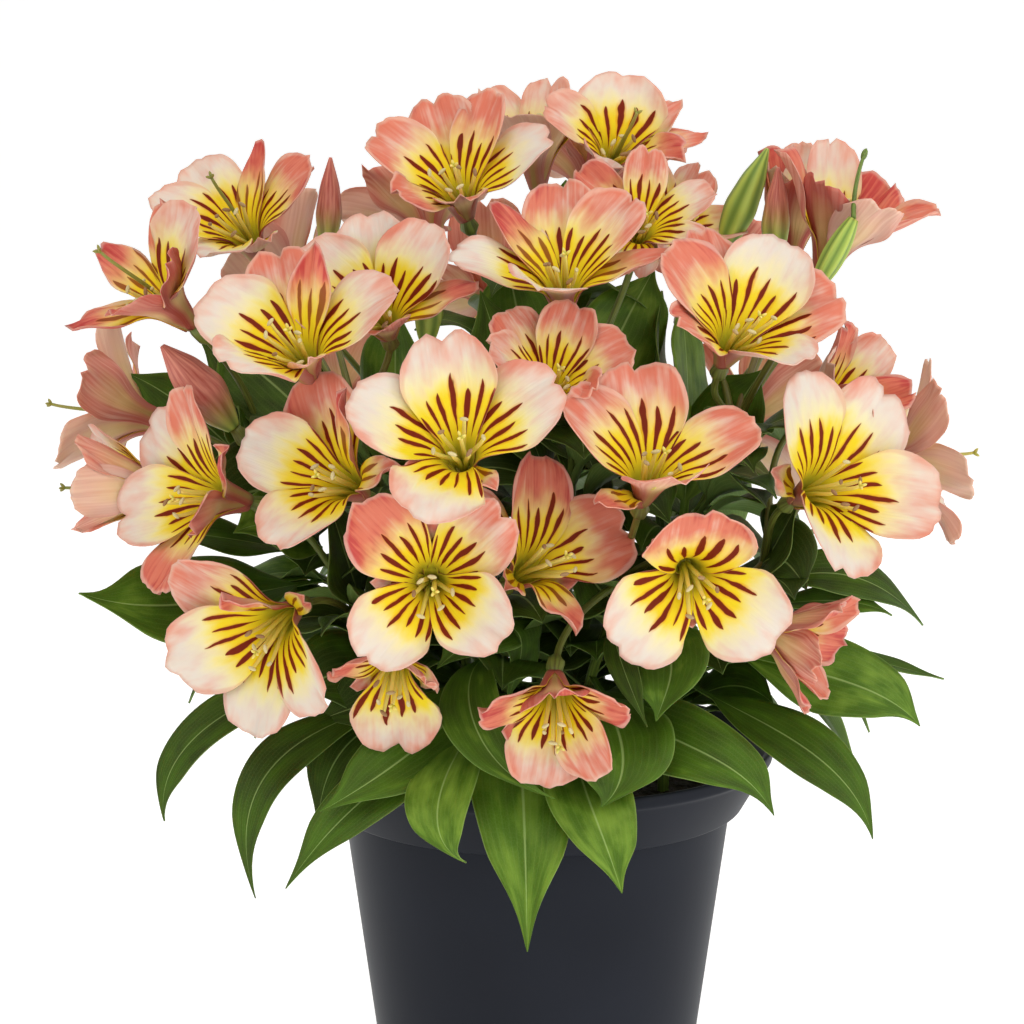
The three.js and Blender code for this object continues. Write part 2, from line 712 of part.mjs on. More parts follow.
// Buds: the foot, the way it points, and its length and radius
const BUDS = [
  { name: "upper_right_green", stem: "upper_right", base: [75, 8, 328], face: [40, 62], size: [34, 5] },
  { name: "upper_right_pink", stem: "upper_right", base: [87, -3, 318], face: [5, 80], size: [32, 5] },
  { name: "upper_left_brown", stem: "upper_left", base: [-74, 0, 326], face: [40, 62], size: [26, 4.5] },
  { name: "upper_left_inner", stem: "upper_left", base: [-38, -52, 300], face: [30, 80], size: [26, 5] },
  { name: "left_red", stem: "left", base: [-98, -32, 270], face: [-70, 55], size: [34, 7] },
  { name: "middle_small", stem: "upper_middle", base: [26, -70, 276], face: [5, 55], size: [20, 4] },
  { name: "right_low", stem: "right", base: [84, -62, 200], face: [20, -30], size: [18, 4.5] },
  { name: "back_right", stem: "back_right", base: [88, 42, 292], face: [110, 50], size: [28, 5] },
];

// Leaves in front, on the left and on the right: the stem, the share of it that they leave from, and the tip
const LEAVES = [
  { stem: "left", at: 0.62, tip: [-156, -60, 217], width: 27, arch: 22, roll: 0 },
  { stem: "left", at: 0.72, tip: [-138, -42, 236], width: 18, arch: 12, roll: 10 },
  { stem: "front_left", at: 0.66, tip: [-127, -75, 141], width: 26, arch: 22, roll: -20, hook: 0.95 },
  { stem: "front_left", at: 0.4, tip: [-95, -92, 119], width: 27, arch: 20, roll: -20, hook: 1.05 },
  { stem: "front_left", at: 0.2, tip: [-96, -58, 142], width: 20, arch: 26, roll: 0, hook: 0.8 },
  { stem: "front_centre", at: 0.22, tip: [-84, -104, 126], width: 26, arch: 24, roll: -15, hook: 0.75 },
  { stem: "front_centre", at: 0.46, tip: [-72, -112, 149], width: 28, arch: 6, roll: -10, hook: 0.7 },
  { stem: "front_centre", at: 0.34, tip: [-24, -122, 138], width: 23, arch: 18, roll: 10, hook: 0.85 },
  { stem: "front_centre", at: 0.2, tip: [-4, -122, 110], width: 34, arch: 24, roll: 0, hook: 0.8 },
  { stem: "front_right", at: 0.16, tip: [27, -116, 128], width: 28, arch: 22, roll: 0, hook: 0.75 },
  { stem: "front_right", at: 0.36, tip: [31, -116, 164], width: 30, arch: 16, roll: -20, hook: 0.7 },
  { stem: "front_right", at: 0.42, tip: [78, -97, 149], width: 31, arch: 20, roll: 15, hook: 0.6 },
  { stem: "front_right", at: 0.9, tip: [41, -112, 185], width: 20, arch: 4, roll: 20, hook: 0.6 },
  { stem: "right", at: 0.34, tip: [116, -62, 131], width: 28, arch: 24, roll: 20, hook: 0.9 },
  { stem: "right", at: 0.52, tip: [134, -32, 164], width: 24, arch: 20, roll: 10, hook: 0.8 },
  { stem: "right", at: 0.66, tip: [144, -20, 180], width: 16, arch: 14, roll: 20, hook: 0.6 },
  { stem: "right", at: 0.8, tip: [136, -14, 199], width: 22, arch: 12, roll: 10, hook: 0.7 },
];

// Whorls of leaves round the sides and the back, and higher on the inner stems: the shares of the stem
// they leave between, the middle and the width of the sector they point into, how far they reach out, their
// width as a share of that, and how far the tips hang
const WHORLS = [
  { stem: "back_left", span: [0.26, 0.9], count: 8, turn: 215, fan: 80, reach: 62, width: 0.38, drop: 26 },
  { stem: "back_middle", span: [0.18, 0.85], count: 8, turn: 175, fan: 50, reach: 64, width: 0.38, drop: 32 },
  { stem: "back_right", span: [0.2, 0.9], count: 8, turn: 133, fan: 75, reach: 62, width: 0.38, drop: 28 },
  { stem: "left", span: [0.2, 0.55], count: 5, turn: 262, fan: 60, reach: 66, width: 0.35, drop: 24 },
  { stem: "right", span: [0.16, 0.5], count: 5, turn: 106, fan: 60, reach: 64, width: 0.36, drop: 28 },
  { stem: "upper_left", span: [0.3, 0.9], count: 7, turn: 314, fan: 90, reach: 42, width: 0.46, drop: -14 },
  { stem: "top", span: [0.3, 0.9], count: 9, turn: 196, fan: 350, reach: 40, width: 0.46, drop: -26 },
  { stem: "upper_middle", span: [0.35, 0.9], count: 6, turn: 22, fan: 80, reach: 38, width: 0.46, drop: -16 },
  { stem: "upper_right", span: [0.3, 0.9], count: 7, turn: 42, fan: 60, reach: 40, width: 0.46, drop: -14 },
  { stem: "front_left", span: [0.75, 0.98], count: 3, turn: -40, fan: 80, reach: 36, width: 0.42, drop: -8 },
  {
    stem: "front_centre", span: [0.7, 0.98], count: 4, turn: -22, fan: 50,
    reach: 34, width: 0.42, drop: -10,
  },
  { stem: "front_right", span: [0.6, 0.98], count: 4, turn: 52, fan: 50, reach: 34, width: 0.42, drop: -10 },
];

// How much the leaves of a whorl differ among themselves
const GOLDEN = 0.618;
const SWING = 0.12;
const REACH = [0.85, 1.15];
const DROP = [0.7, 1.3];
const BREADTH = [0.88, 1.12];
const ARCH = [0.3, 0.42];
const ROLL = [-25, 25];
const WHORL_HOOK = 0.6;
const WHORL_SEED = 31;
const LEAF_SEED = 7;

// Each whorl's leaves step up the stem and swing from side to side of its own sector.
function whorlLeaves(whorl, index) {
  const stem = STEMS[whorl.stem];
  return Array.from({ length: whorl.count }, (_, i) => {
    const draw = (n) => chance(index * WHORL_SEED + i * LEAF_SEED + n);
    const at = mix(...whorl.span, i / (whorl.count - 1));
    const swing = ((i * GOLDEN) % 1) - 0.5;
    const away = heading(whorl.turn + whorl.fan * (swing + SWING * (draw(1) - 0.5)), 0);
    const reach = whorl.reach * mix(...REACH, draw(2));
    const tip = stemCurve(stem).getPoint(at).addScaledVector(away, reach);
    tip.z -= whorl.drop * mix(...DROP, draw(3));
    return {
      stem: whorl.stem,
      at,
      tip: tip.toArray(),
      width: whorl.width * mix(...BREADTH, draw(4)) * reach,
      arch: mix(...ARCH, draw(5)) * reach + Math.max(0, -whorl.drop),
      roll: mix(...ROLL, draw(6)),
      hook: WHORL_HOOK,
    };
  });
}

const ALL_LEAVES = [...LEAVES, ...WHORLS.flatMap(whorlLeaves)];

for (const bloom of BLOOMS) {
  bloom.roll ??= 0;
  bloom.open ??= 1;
}

// Finishes
const FINISHES = {
  pot: new THREE.MeshStandardMaterial({ color: 0x2f333b, roughness: 0.45, metalness: 0 }),
  soil: new THREE.MeshStandardMaterial({ color: 0x2b1d14, roughness: 1, metalness: 0 }),
  green: new THREE.MeshStandardMaterial({ color: 0x4c7a35, roughness: 0.55, metalness: 0 }),
  petal: new THREE.MeshStandardMaterial({ color: 0xf0a894, roughness: 0.6, metalness: 0 }),
  bud: new THREE.MeshStandardMaterial({ color: 0xc9705f, roughness: 0.6, metalness: 0 }),
};

const plant = new THREE.Group();

function addNode(name, solid, finish) {
  const mesh = new THREE.Mesh(geometryFrom(solid), FINISHES[finish]);
  mesh.name = name;
  plant.add(mesh);
}

addNode("pot", makePot(), "pot");
addNode("soil", makeSoil(Object.values(STEMS)), "soil");
for (const bloom of BLOOMS) {
  addNode("bloom_" + bloom.name, makeBloom(bloom), "petal");
}
for (const bud of BUDS) {
  addNode("bud_" + bud.name, makeBud(bud), "bud");
}
for (const [name, stem] of Object.entries(STEMS)) {
  const carried = [
    ...BLOOMS.filter((bloom) => bloom.stem === name).map(bloomAxes),
    ...BUDS.filter((bud) => bud.stem === name).map(budAxis),
  ];
  const leaves = ALL_LEAVES.filter((leaf) => leaf.stem === name);
  addNode("stem_" + name, makeStem(stem, carried, leaves), "green");
}

export default plant;
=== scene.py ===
# %% [markdown]
# A potted Peruvian lily
#
# The plant is a low pot lily with streaked, silky flowers in cream, salmon and yellow, in a smooth dark
# pot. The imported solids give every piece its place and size. This lesson lays a finer surface over each of
# them: petals as thin curved sheets, leaves with a fold and veins, round stems, and a turned pot.

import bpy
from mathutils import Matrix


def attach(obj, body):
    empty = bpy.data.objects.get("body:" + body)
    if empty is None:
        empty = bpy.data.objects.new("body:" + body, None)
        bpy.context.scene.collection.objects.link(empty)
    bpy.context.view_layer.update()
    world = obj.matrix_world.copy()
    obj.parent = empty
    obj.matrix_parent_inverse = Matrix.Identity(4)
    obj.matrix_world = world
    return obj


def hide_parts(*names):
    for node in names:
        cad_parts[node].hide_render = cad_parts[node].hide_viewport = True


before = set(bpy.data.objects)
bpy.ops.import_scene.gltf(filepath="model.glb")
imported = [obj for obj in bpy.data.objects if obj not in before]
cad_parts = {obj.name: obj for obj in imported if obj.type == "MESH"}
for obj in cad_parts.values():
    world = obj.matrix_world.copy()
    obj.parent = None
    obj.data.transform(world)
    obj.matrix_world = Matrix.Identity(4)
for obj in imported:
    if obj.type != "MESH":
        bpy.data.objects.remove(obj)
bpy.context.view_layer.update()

# %% Tools of the language
import math

import bpy
import numpy as np
from mathutils import Vector, noise

MM = 0.001
UP = np.array([0.0, 0.0, 1.0])
print("Blender", bpy.app.version_string, "with numpy", np.__version__)

# %% [markdown]
# Small rules that the whole plant shares
#
# A plant is drawn with a few curves, so a few short functions are enough: a soft step between two values,
# a repeatable number for each seed, a direction from two angles, and a Bezier curve of any degree. All of
# them take whole arrays of numbers, which keeps the script quick.

# %% Soft steps, repeatable chance and directions
def mix(a, b, share):
    return a + (b - a) * share


def smooth(low, high, x):
    share = np.clip((x - low) / (high - low), 0, 1)
    return share * share * (3 - 2 * share)


def chance(seed):
    x = np.sin(seed * 12.9898) * 43758.5453
    return x - np.floor(x)


def unit(vectors):
    return vectors / np.linalg.norm(vectors, axis=-1, keepdims=True)


def heading(azimuth, elevation):
    a, e = math.radians(azimuth), math.radians(elevation)
    return np.array([math.sin(a) * math.cos(e), -math.cos(a) * math.cos(e), math.sin(e)])


def bezier(knots, shares):
    shares = np.asarray(shares, float)[..., None]
    level = [np.broadcast_to(np.asarray(k, float), shares.shape[:-1] + (3,)) for k in knots]
    while len(level) > 1:
        level = [mix(a, b, shares) for a, b in zip(level, level[1:])]
    return level[0]


print("the front is", heading(0, 0), "and the right is", heading(90, 0).round(3))

# %% [markdown]
# From points to pieces
#
# Each piece is gathered patch by patch: points in millimetres, the faces between them, and a few numbers
# that are kept at the points. The materials read those numbers later, to know where on a petal or leaf
# they are: across it, along it, how near its rim, on which side, and how pink this one is.

# %% A piece in the making
TRAITS = ("across", "along", "rim", "back", "tone", "marks", "seed")


def in_scene(name, data):
    """Puts an object into the scene, made from a mesh, a lamp or a camera."""
    made = bpy.data.objects.new(name, data)
    bpy.context.scene.collection.objects.link(made)
    return made


class Piece:
    """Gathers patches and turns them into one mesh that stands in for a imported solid."""

    def __init__(self, name, finishes):
        self.name = name
        self.finishes = finishes
        self.points = []
        self.faces = []
        self.slots = []
        self.traits = {trait: [] for trait in TRAITS}
        self.count = 0

    def add(self, points, faces, finish, **traits):
        points = points.reshape(-1, 3)
        for group in faces:
            self.faces += (np.asarray(group) + self.count).tolist()
            self.slots += [finish] * len(group)
        for trait in TRAITS:
            value = np.asarray(traits.get(trait, 0.0), float)
            self.traits[trait].append(np.broadcast_to(value.ravel(), len(points)))
        self.points.append(points)
        self.count += len(points)

    def finish(self, slot, *nodes):
        mesh = bpy.data.meshes.new(self.name)
        mesh.from_pydata((np.concatenate(self.points) * MM).tolist(), [], self.faces)
        for trait in TRAITS:
            values = np.concatenate(self.traits[trait]).astype(np.float32)
            mesh.attributes.new(trait, "FLOAT", "POINT").data.foreach_set("value", values)
        for material in self.finishes:
            mesh.materials.append(material)
        mesh.polygons.foreach_set("material_index", self.slots)
        mesh.polygons.foreach_set("use_smooth", [True] * len(self.faces))
        mesh.update()
        made = in_scene(self.name, mesh)
        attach(made, "root")
        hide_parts(*nodes)
        return made


print("kept at every point:", ", ".join(TRAITS))


# %% A thin closed sheet
def sheet_faces(rows, columns):
    """Quads of a sheet: its face, its back, which follows in the list, and the band round its rim."""
    index = np.arange(rows * columns).reshape(rows, columns)
    below = rows * columns
    a, b, c, d = index[:-1, :-1], index[1:, :-1], index[1:, 1:], index[:-1, 1:]
    face = np.stack([a, b, c, d], -1).reshape(-1, 4)
    back = np.stack([a, d, c, b], -1).reshape(-1, 4) + below
    loop = np.concatenate([index[:-1, 0], index[-1, :-1], index[:0:-1, -1], index[0, :0:-1]])
    ahead = np.roll(loop, -1)
    band = np.stack([ahead, loop, loop + below, ahead + below], -1)
    return [face, back, band]


def add_sheet(piece, grid, thickness, finish, **traits):
    """Adds a sheet over a grid of points, with its back set behind the grid by a thickness."""
    rows, columns = grid.shape[:2]
    normal = unit(np.cross(np.gradient(grid, axis=0), np.gradient(grid, axis=1)))
    back = grid - normal * np.broadcast_to(thickness, (rows, columns))[..., None]
    both = {}
    for trait, value in traits.items():
        both[trait] = np.tile(np.broadcast_to(value, (rows, columns)).ravel(), 2)
    both["back"] = np.repeat([0.0, 1.0], rows * columns)
    points = np.concatenate([grid.reshape(-1, 3), back.reshape(-1, 3)])
    piece.add(points, sheet_faces(rows, columns), finish, **both)


print("a sheet of 3 by 3 points has", sum(len(group) for group in sheet_faces(3, 3)), "faces")


# %% A round stalk and a turned shell
def full_turn(sides):
    return np.linspace(0, 2 * np.pi, sides, endpoint=False)


def ring_walls(rows, sides):
    """The numbers of points in rings, the same one step ahead, and the quads between the rings."""
    index = np.arange(rows * sides).reshape(rows, sides)
    ahead = np.roll(index, -1, axis=1)
    return index, ahead, np.stack([index[:-1], ahead[:-1], ahead[1:], index[1:]], -1).reshape(-1, 4)


def add_stalk(piece, path, radii, sides, finish, ribs=0, rib_height=0.0, **traits):
    """Adds a closed stalk along a path; ribs run along it where rib_height is above nothing."""
    along = unit(np.gradient(path, axis=0))
    side = np.array([1.0, 0, 0]) if abs(along[0, 0]) < 0.8 else np.array([0, 1.0, 0])
    turned = []
    for direction in along:
        side = unit(side - direction * side.dot(direction))
        turned.append(side)
    side = np.array(turned)
    over = np.cross(along, side)
    turn = full_turn(sides)
    radius = np.asarray(radii)[:, None] * (1 + np.asarray(rib_height).reshape(-1, 1) * np.cos(ribs * turn))
    ring = side[:, None] * np.cos(turn)[None, :, None] + over[:, None] * np.sin(turn)[None, :, None]
    points = path[:, None] + radius[..., None] * ring
    rows = len(path)
    index, _, walls = ring_walls(rows, sides)
    traits.setdefault("along", np.repeat(np.linspace(0, 1, rows), sides))
    traits.setdefault("across", np.tile(turn / np.pi - 1, rows))
    piece.add(points, [walls, [index[0, ::-1]], [index[-1]]], finish, **traits)


def add_turned(piece, profile, sides, finish):
    """Adds a shell turned round the Z axis; the profile starts and ends on the axis."""
    radius, height = np.array(profile[1:-1]).T
    turn = full_turn(sides)
    ring = np.stack([np.cos(turn), np.sin(turn), np.zeros(sides)], -1)
    points = radius[:, None, None] * ring + height[:, None, None] * UP
    index, ahead, walls = ring_walls(len(radius), sides)
    bottom, top = index.size, index.size + 1
    caps = [
        np.stack([np.full(sides, bottom), ahead[0], index[0]], -1),
        np.stack([np.full(sides, top), index[-1], ahead[-1]], -1),
    ]
    ends = np.array([[0, 0, profile[0][1]], [0, 0, profile[-1][1]]])
    piece.add(np.concatenate([points.reshape(-1, 3), ends]), [walls, *caps], finish)


print("a stalk of 3 rings of 6 has", len(ring_walls(3, 6)[2]), "wall faces")

# %% [markdown]
# Colours and nodes
#
# A colour given in hex is an sRGB value, while the renderer counts light, so one function turns the hex
# value into linear light. Another adds a node, sets it up and links it, whatever its kind. Every material
# below is written with these two.

# %% From hex to light, and one way to add a node
MODES = {"Math": "operation", "MapRange": "interpolation_type"}


def light(hex_colour):
    parts = [int(hex_colour[i : i + 2], 16) / 255 for i in (1, 3, 5)]
    return (*[p / 12.92 if p <= 0.04045 else ((p + 0.055) / 1.055) ** 2.4 for p in parts], 1.0)


def node(tree, kind, *inputs, sockets=None, **settings):
    """Adds a node; a second word in its kind is its mode, such as SINE. Settings are its properties.

    An input is a value, a hex colour, or a node or socket to link to. None leaves the input alone.
    """
    kind, *mode = kind.split()
    made = tree.nodes.new("ShaderNode" + kind)
    if mode:
        settings[MODES[kind]] = mode[0]
    for name, value in settings.items():
        setattr(made, name, value)
    pairs = list(zip(made.inputs, inputs))
    pairs += [(made.inputs[name], value) for name, value in (sockets or {}).items()]
    for socket, given in pairs:
        if isinstance(given, bpy.types.Node):
            given = given.outputs[0]
        if isinstance(given, str):
            given = light(given)
        if isinstance(given, bpy.types.NodeSocket):
            tree.links.new(given, socket)
        elif given is not None:
            socket.default_value = given
    return made


print("mid grey as light:", [round(c, 3) for c in light("#808080")[:3]])

# %% [markdown]
# How a finish is put together
#
# A plant's skin is coloured in coats: a ground, and on it one tint after another, each where some number
# is high or low. The numbers are those kept at the points, and noise that is stretched along them. So a
# finish is a shader, a few stretched patterns, a list of coats, and a little relief.

# %% A shader, the kept numbers, stretched patterns, coats and relief
def new_finish(name, roughness, ior=1.45, **sockets):
    """A material with one Principled shader, its constants set on the shader's own sockets."""
    made = bpy.data.materials.new(name)
    made.use_nodes = True
    tree = made.node_tree
    tree.nodes.clear()
    shader = node(tree, "BsdfPrincipled")
    output = node(tree, "OutputMaterial", shader)
    output.location.x = 300
    shader.inputs["Roughness"].default_value = roughness
    shader.inputs["IOR"].default_value = ior
    for name, value in sockets.items():
        shader.inputs[name.replace("_", " ").title().replace("Ior", "IOR")].default_value = value
    return made, tree, shader


def kept_numbers(tree, *traits):
    return {trait: node(tree, "Attribute", attribute_name=trait).outputs["Fac"] for trait in traits}


def stretched(tree, kept, **scales):
    """A place whose axes are kept numbers, each with its own scale."""
    axes = [node(tree, "Math MULTIPLY", kept[trait], scale) for trait, scale in scales.items()]
    return node(tree, "CombineXYZ", *axes)


def painted(tree, colour, *coats):
    """Lays coats on a colour. Each has its number, where it starts and is full, its most, and its hue."""
    for number, start, full, most, hue, *step in coats:
        share = node(tree, "MapRange " + (step or ["SMOOTHSTEP"])[0], number, start, full, 0.0, most)
        colour = node(tree, "MixRGB", share, colour, hue)
    return colour


def dress(tree, shader, colour, height, strength, depth):
    """Gives the shader its colour, and its relief from a height; the depth is in millimetres."""
    relief = node(tree, "Bump", sockets={"Height": height, "Strength": strength, "Distance": depth * MM})
    tree.links.new(colour.outputs[0], shader.inputs["Base Color"])
    tree.links.new(relief.outputs[0], shader.inputs["Normal"])


print("a finish reads:", ", ".join(TRAITS))

# %% [markdown]
# Petal tissue
#
# A living petal is a thin film of watery cells with a silky face. It scatters light inside, so shadows
# on it stay warm, and its gloss is low and broad. The colour is laid in zones: an olive throat, a yellow
# flame above it with dark red-brown streaks, then cream that blushes to salmon towards the rim. The
# outside is brick pink with a greenish keel. All zones follow the numbers kept at the points.

# %% The silky petal, its clouds and its veins
petal, tree, shader = new_finish(
    "silky petal tissue", 0.55, ior=1.4, specular_ior_level=0.2,
    subsurface_weight=0.2, subsurface_scale=3 * MM,
)
shader.inputs["Subsurface Radius"].default_value = (1.0, 0.45, 0.3)
kept = kept_numbers(tree, *TRAITS)
spread_out = node(tree, "Math MULTIPLY", kept["across"], kept["across"])

# on a petal 26 mm wide and 45 mm long the clouds are about 4 by 11 mm; the veins fan out from the throat
# 1 mm apart, which is coarser than real ones, so that they show
cloud_place = stretched(tree, kept, across=2.2, along=2.6, seed=40.0)
cloud = node(tree, "TexNoise", sockets={"Vector": cloud_place, "Scale": 1.6, "Detail": 2.0})
vein_place = stretched(tree, kept, across=9.0, along=0.9, seed=40.0)
veins = node(tree, "TexNoise", sockets={"Vector": vein_place, "Scale": 1.5, "Detail": 3.0})
print("petal clouds and veins:", len(tree.nodes), "nodes")

# %% How far the cream has turned pink: this petal's tone, one rim deeper than the other, clouds and veins
side = node(tree, "MapRange", kept["seed"], 0.0, 1.0, -1.0, 1.0)
one_side = node(tree, "Math MULTIPLY", kept["across"], side)
one_side = node(tree, "MapRange", one_side, 0.1, 0.95, 0.0, 0.42)
outer = node(tree, "MapRange SMOOTHSTEP", kept["along"], 0.5, 0.85, 0.0, 1.0)
rim_blush = node(tree, "Math MULTIPLY", node(tree, "Math MULTIPLY_ADD", kept["rim"], 0.3, one_side), outer)
cloud_blush = node(tree, "MapRange", cloud, 0.3, 0.7, -0.2, 0.2)
vein_blush = node(tree, "MapRange", veins, 0.3, 0.7, -0.22, 0.22)
blush = kept["tone"]
for part in (rim_blush, cloud_blush, node(tree, "Math MULTIPLY", vein_blush, kept["tone"])):
    blush = node(tree, "Math ADD", blush, part)

# the yellow flame is a tongue: longer along the middle than at the sides, shorter on a pink petal
tongue = node(tree, "Math MULTIPLY_ADD", spread_out, 0.1, kept["along"])
tongue = node(tree, "Math MULTIPLY_ADD", kept["tone"], 0.09, tongue)
uneven = node(tree, "MapRange", cloud, 0.3, 0.7, -0.05, 0.05)
tongue = node(tree, "Math ADD", uneven, tongue)

inside = painted(
    tree, "#DED0C3",
    (blush, 0.06, 0.55, 1.0, "#DFB3A2"),
    (blush, 0.35, 0.95, 1.0, "#D67962"),
    (blush, 0.95, 1.4, 0.9, "#B84343"),
    (tongue, 0.88, 0.6, 0.75, "#F3E58C"),
    (tongue, 0.73, 0.53, 1.0, "#EECF20"),
    (kept["along"], 0.34, 0.14, 1.0, "#D2C634"),
)
print("with blush and flame:", len(tree.nodes), "nodes")

# %% Streaks: six or seven across a broad petal, about 4 mm apart and 1.4 mm wide, each with its own length
# the petal's number is rounded, so that the draws are the same all over it
SEED_STEPS = 96
sway = node(tree, "MapRange", cloud, 0.3, 0.7, -0.12, 0.12)
shift = node(tree, "Math MULTIPLY_ADD", kept["seed"], 0.8, sway)
lane = node(tree, "Math MULTIPLY_ADD", kept["across"], 3.1, shift)
number = node(tree, "Math ROUND", lane)
off_lane = node(tree, "Math ABSOLUTE", node(tree, "Math SUBTRACT", lane, number))
which = node(tree, "Math ROUND", node(tree, "Math MULTIPLY", kept["seed"], SEED_STEPS))
draw = node(tree, "TexWhiteNoise", node(tree, "CombineXYZ", number, which, 0.0), noise_dimensions="3D")
early, late, thick = node(tree, "SeparateXYZ", draw.outputs["Color"]).outputs
start = node(tree, "Math MULTIPLY_ADD", early, 0.08, 0.2)
stop = node(tree, "Math MULTIPLY_ADD", late, 0.16, 0.58)
# the outer lanes stop sooner
stop = node(tree, "Math MULTIPLY_ADD", node(tree, "Math MULTIPLY", number, number), -0.016, stop)
share = node(tree, "Math POWER", node(tree, "MapRange", kept["along"], start, stop, 0.0, 1.0), 1.4)
spindle = node(tree, "Math SINE", node(tree, "Math MULTIPLY", share, math.pi))
spindle = node(tree, "Math POWER", spindle, 0.55)
half_width = node(tree, "Math MULTIPLY_ADD", thick, 0.1, 0.17)
inward = node(tree, "Math SUBTRACT", node(tree, "Math MULTIPLY", spindle, half_width), off_lane)
glow = node(tree, "MapRange SMOOTHSTEP", inward, -0.15, 0.04, 0.0, 0.65)
glow = node(tree, "Math MULTIPLY", node(tree, "Math MULTIPLY", glow, spindle), kept["marks"])
inside = node(tree, "MixRGB", glow, inside, "#DE841A")
streak = node(tree, "MapRange SMOOTHSTEP", inward, 0.0, 0.05, 0.0, 1.0)
inside = node(tree, "MixRGB", node(tree, "Math MULTIPLY", streak, kept["marks"]), inside, "#701E03")

# the very rim of a cream petal is pink, and that of a pink one is pale
edge = painted(tree, "#D9907E", (kept["tone"], 0.2, 0.5, 1.0, "#EFD2BE", "LINEAR"))
inside = painted(tree, inside, (kept["rim"], 0.7, 1.0, 0.4, edge))
print("with streaks and rim:", len(tree.nodes), "nodes")

# %% The outside: brick pink and rosy at the sides, a lemon band up the middle, a dusky foot partly painted shade, a green keel
outside = painted(
    tree, "#E6AC98",
    (veins, 0.35, 0.65, 1.0, "#D0796A", "LINEAR"),
    (kept["tone"], 0.75, 0.0, 0.75, "#EDD3BF", "LINEAR"),
    (kept["tone"], 0.85, 1.15, 0.8, "#A03C36", "LINEAR"),
    (spread_out, 0.25, 0.9, 0.6, "#C0574E"),
)
band = node(tree, "MapRange SMOOTHSTEP", spread_out, 0.2, 0.02, 0.0, 0.75)
band = node(tree, "Math MULTIPLY", band, node(tree, "MapRange", kept["along"], 0.85, 0.4, 0.0, 1.0))
outside = node(tree, "MixRGB", band, outside, "#E9CF8C")
# the dusky red at the foot is partly the tube's own colour and partly painted shade where the petals crowd
# together
outside = painted(tree, outside, (kept["along"], 0.5, 0.2, 0.75, "#96402F"))
keel = node(tree, "MapRange SMOOTHSTEP", spread_out, 0.05, 0.0, 0.0, 0.5)
keel = node(tree, "Math MULTIPLY", keel, node(tree, "MapRange", kept["along"], 0.5, 0.15, 0.0, 1.0))
outside = node(tree, "MixRGB", keel, outside, "#9C9A50")
dress(tree, shader, node(tree, "MixRGB", kept["back"], inside, outside), veins, 0.35, 0.6)
print("the whole petal:", len(tree.nodes), "nodes")

# %% [markdown]
# Stamens and style
#
# Six stamens stand in the throat, each a waxy olive-yellow thread with a powdery anther at its tip, and
# one style with a three-lobed stigma. The thread is smooth and moist; the pollen sacs are matt. Real
# pollen is too fine to show, so its grain is drawn 0.4 mm wide.

# %% Waxy thread and powdery anther
thread, tree, shader = new_finish(
    "waxy stamen thread", 0.4, ior=1.4, subsurface_weight=0.2, subsurface_scale=2 * MM
)
kept = kept_numbers(tree, "along", "tone")
colour = painted(tree, "#BDB42A", (kept["along"], 0.1, 0.9, 1.0, "#E8D672"))
colour = node(tree, "MixRGB", kept["tone"], colour, "#7C8038")
tree.links.new(colour.outputs[0], shader.inputs["Base Color"])

anther, tree, shader = new_finish("powdery anther", 0.85)
kept = kept_numbers(tree, "seed")
grain = node(tree, "TexNoise", sockets={"Scale": 2500.0, "Detail": 2.0})
colour = painted(
    tree, "#EADBA2",
    (kept["seed"], 0.5, 0.8, 1.0, "#A8805A", "LINEAR"),
    (grain, 0.4, 0.6, 0.4, "#6F5A2E", "LINEAR"),
)
dress(tree, shader, colour, grain, 0.5, 0.2)
print(thread.name, "and", anther.name)

# %% [markdown]
# Bud skin
#
# A closed bud shows only the outsides of its petals: green at the foot and along the ribs, and salmon to
# brick between them. Its veins run from end to end, a little over 1 mm apart.

# %% The closed bud's skin
bud_skin, tree, shader = new_finish(
    "closed bud skin", 0.45, ior=1.4, subsurface_weight=0.15, subsurface_scale=2 * MM
)
kept = kept_numbers(tree, "across", "along", "rim", "tone", "seed")
vein_place = stretched(tree, kept, across=8.0, along=1.5, seed=1.0)
veins = node(tree, "TexNoise", sockets={"Vector": vein_place, "Scale": 2.0, "Detail": 3.0})
flesh = painted(tree, "#DE9580", (veins, 0.3, 0.7, 1.0, "#B04E44", "LINEAR"))
green = node(tree, "MixRGB", kept["rim"], "#6E8C38", "#B4C95A")
greener = node(tree, "Math SUBTRACT", kept["tone"], kept["along"])
dress(tree, shader, painted(tree, flesh, (greener, -0.35, 0.15, 1.0, green)), veins, 0.3, 0.5)
print(bud_skin.name, "has", len(tree.nodes), "nodes")

# %% [markdown]
# Stem skin
#
# The stems are juicy and firm, with a thin wax over a fresh green skin. Fine ridges run along them, about
# half a millimetre apart. The flower stalks turn a little bronze, each by its own chance amount.

# %% Waxy green stem
stem_skin, tree, shader = new_finish(
    "waxy green stem", 0.42, subsurface_weight=0.08, subsurface_scale=2 * MM
)
kept = kept_numbers(tree, "across", "along", "tone", "seed")
ridge_place = stretched(tree, kept, across=5.0, along=2.0, seed=1.0)
ridges = node(tree, "TexNoise", sockets={"Vector": ridge_place, "Scale": 2.4, "Detail": 3.0})
colour = painted(tree, "#45571E", (ridges, 0.35, 0.65, 1.0, "#748C38", "LINEAR"))
colour = node(tree, "MixRGB", node(tree, "Math MULTIPLY", kept["tone"], 0.6), colour, "#8A5A34")
dress(tree, shader, colour, ridges, 0.3, 0.4)
print(stem_skin.name, "has", len(tree.nodes), "nodes")

# %% [markdown]
# Leaf skin
#
# A leaf of this plant is smooth and satin, mid to dark green above and paler below. Its veins run along
# it side by side and meet at the tip, so lines of equal share across the blade are its veins too. The
# middle rib and the rim are a little lighter. On a blade 24 mm wide the veins are 1.7 mm apart, and the
# net between them has meshes of half a millimetre by a little over one.

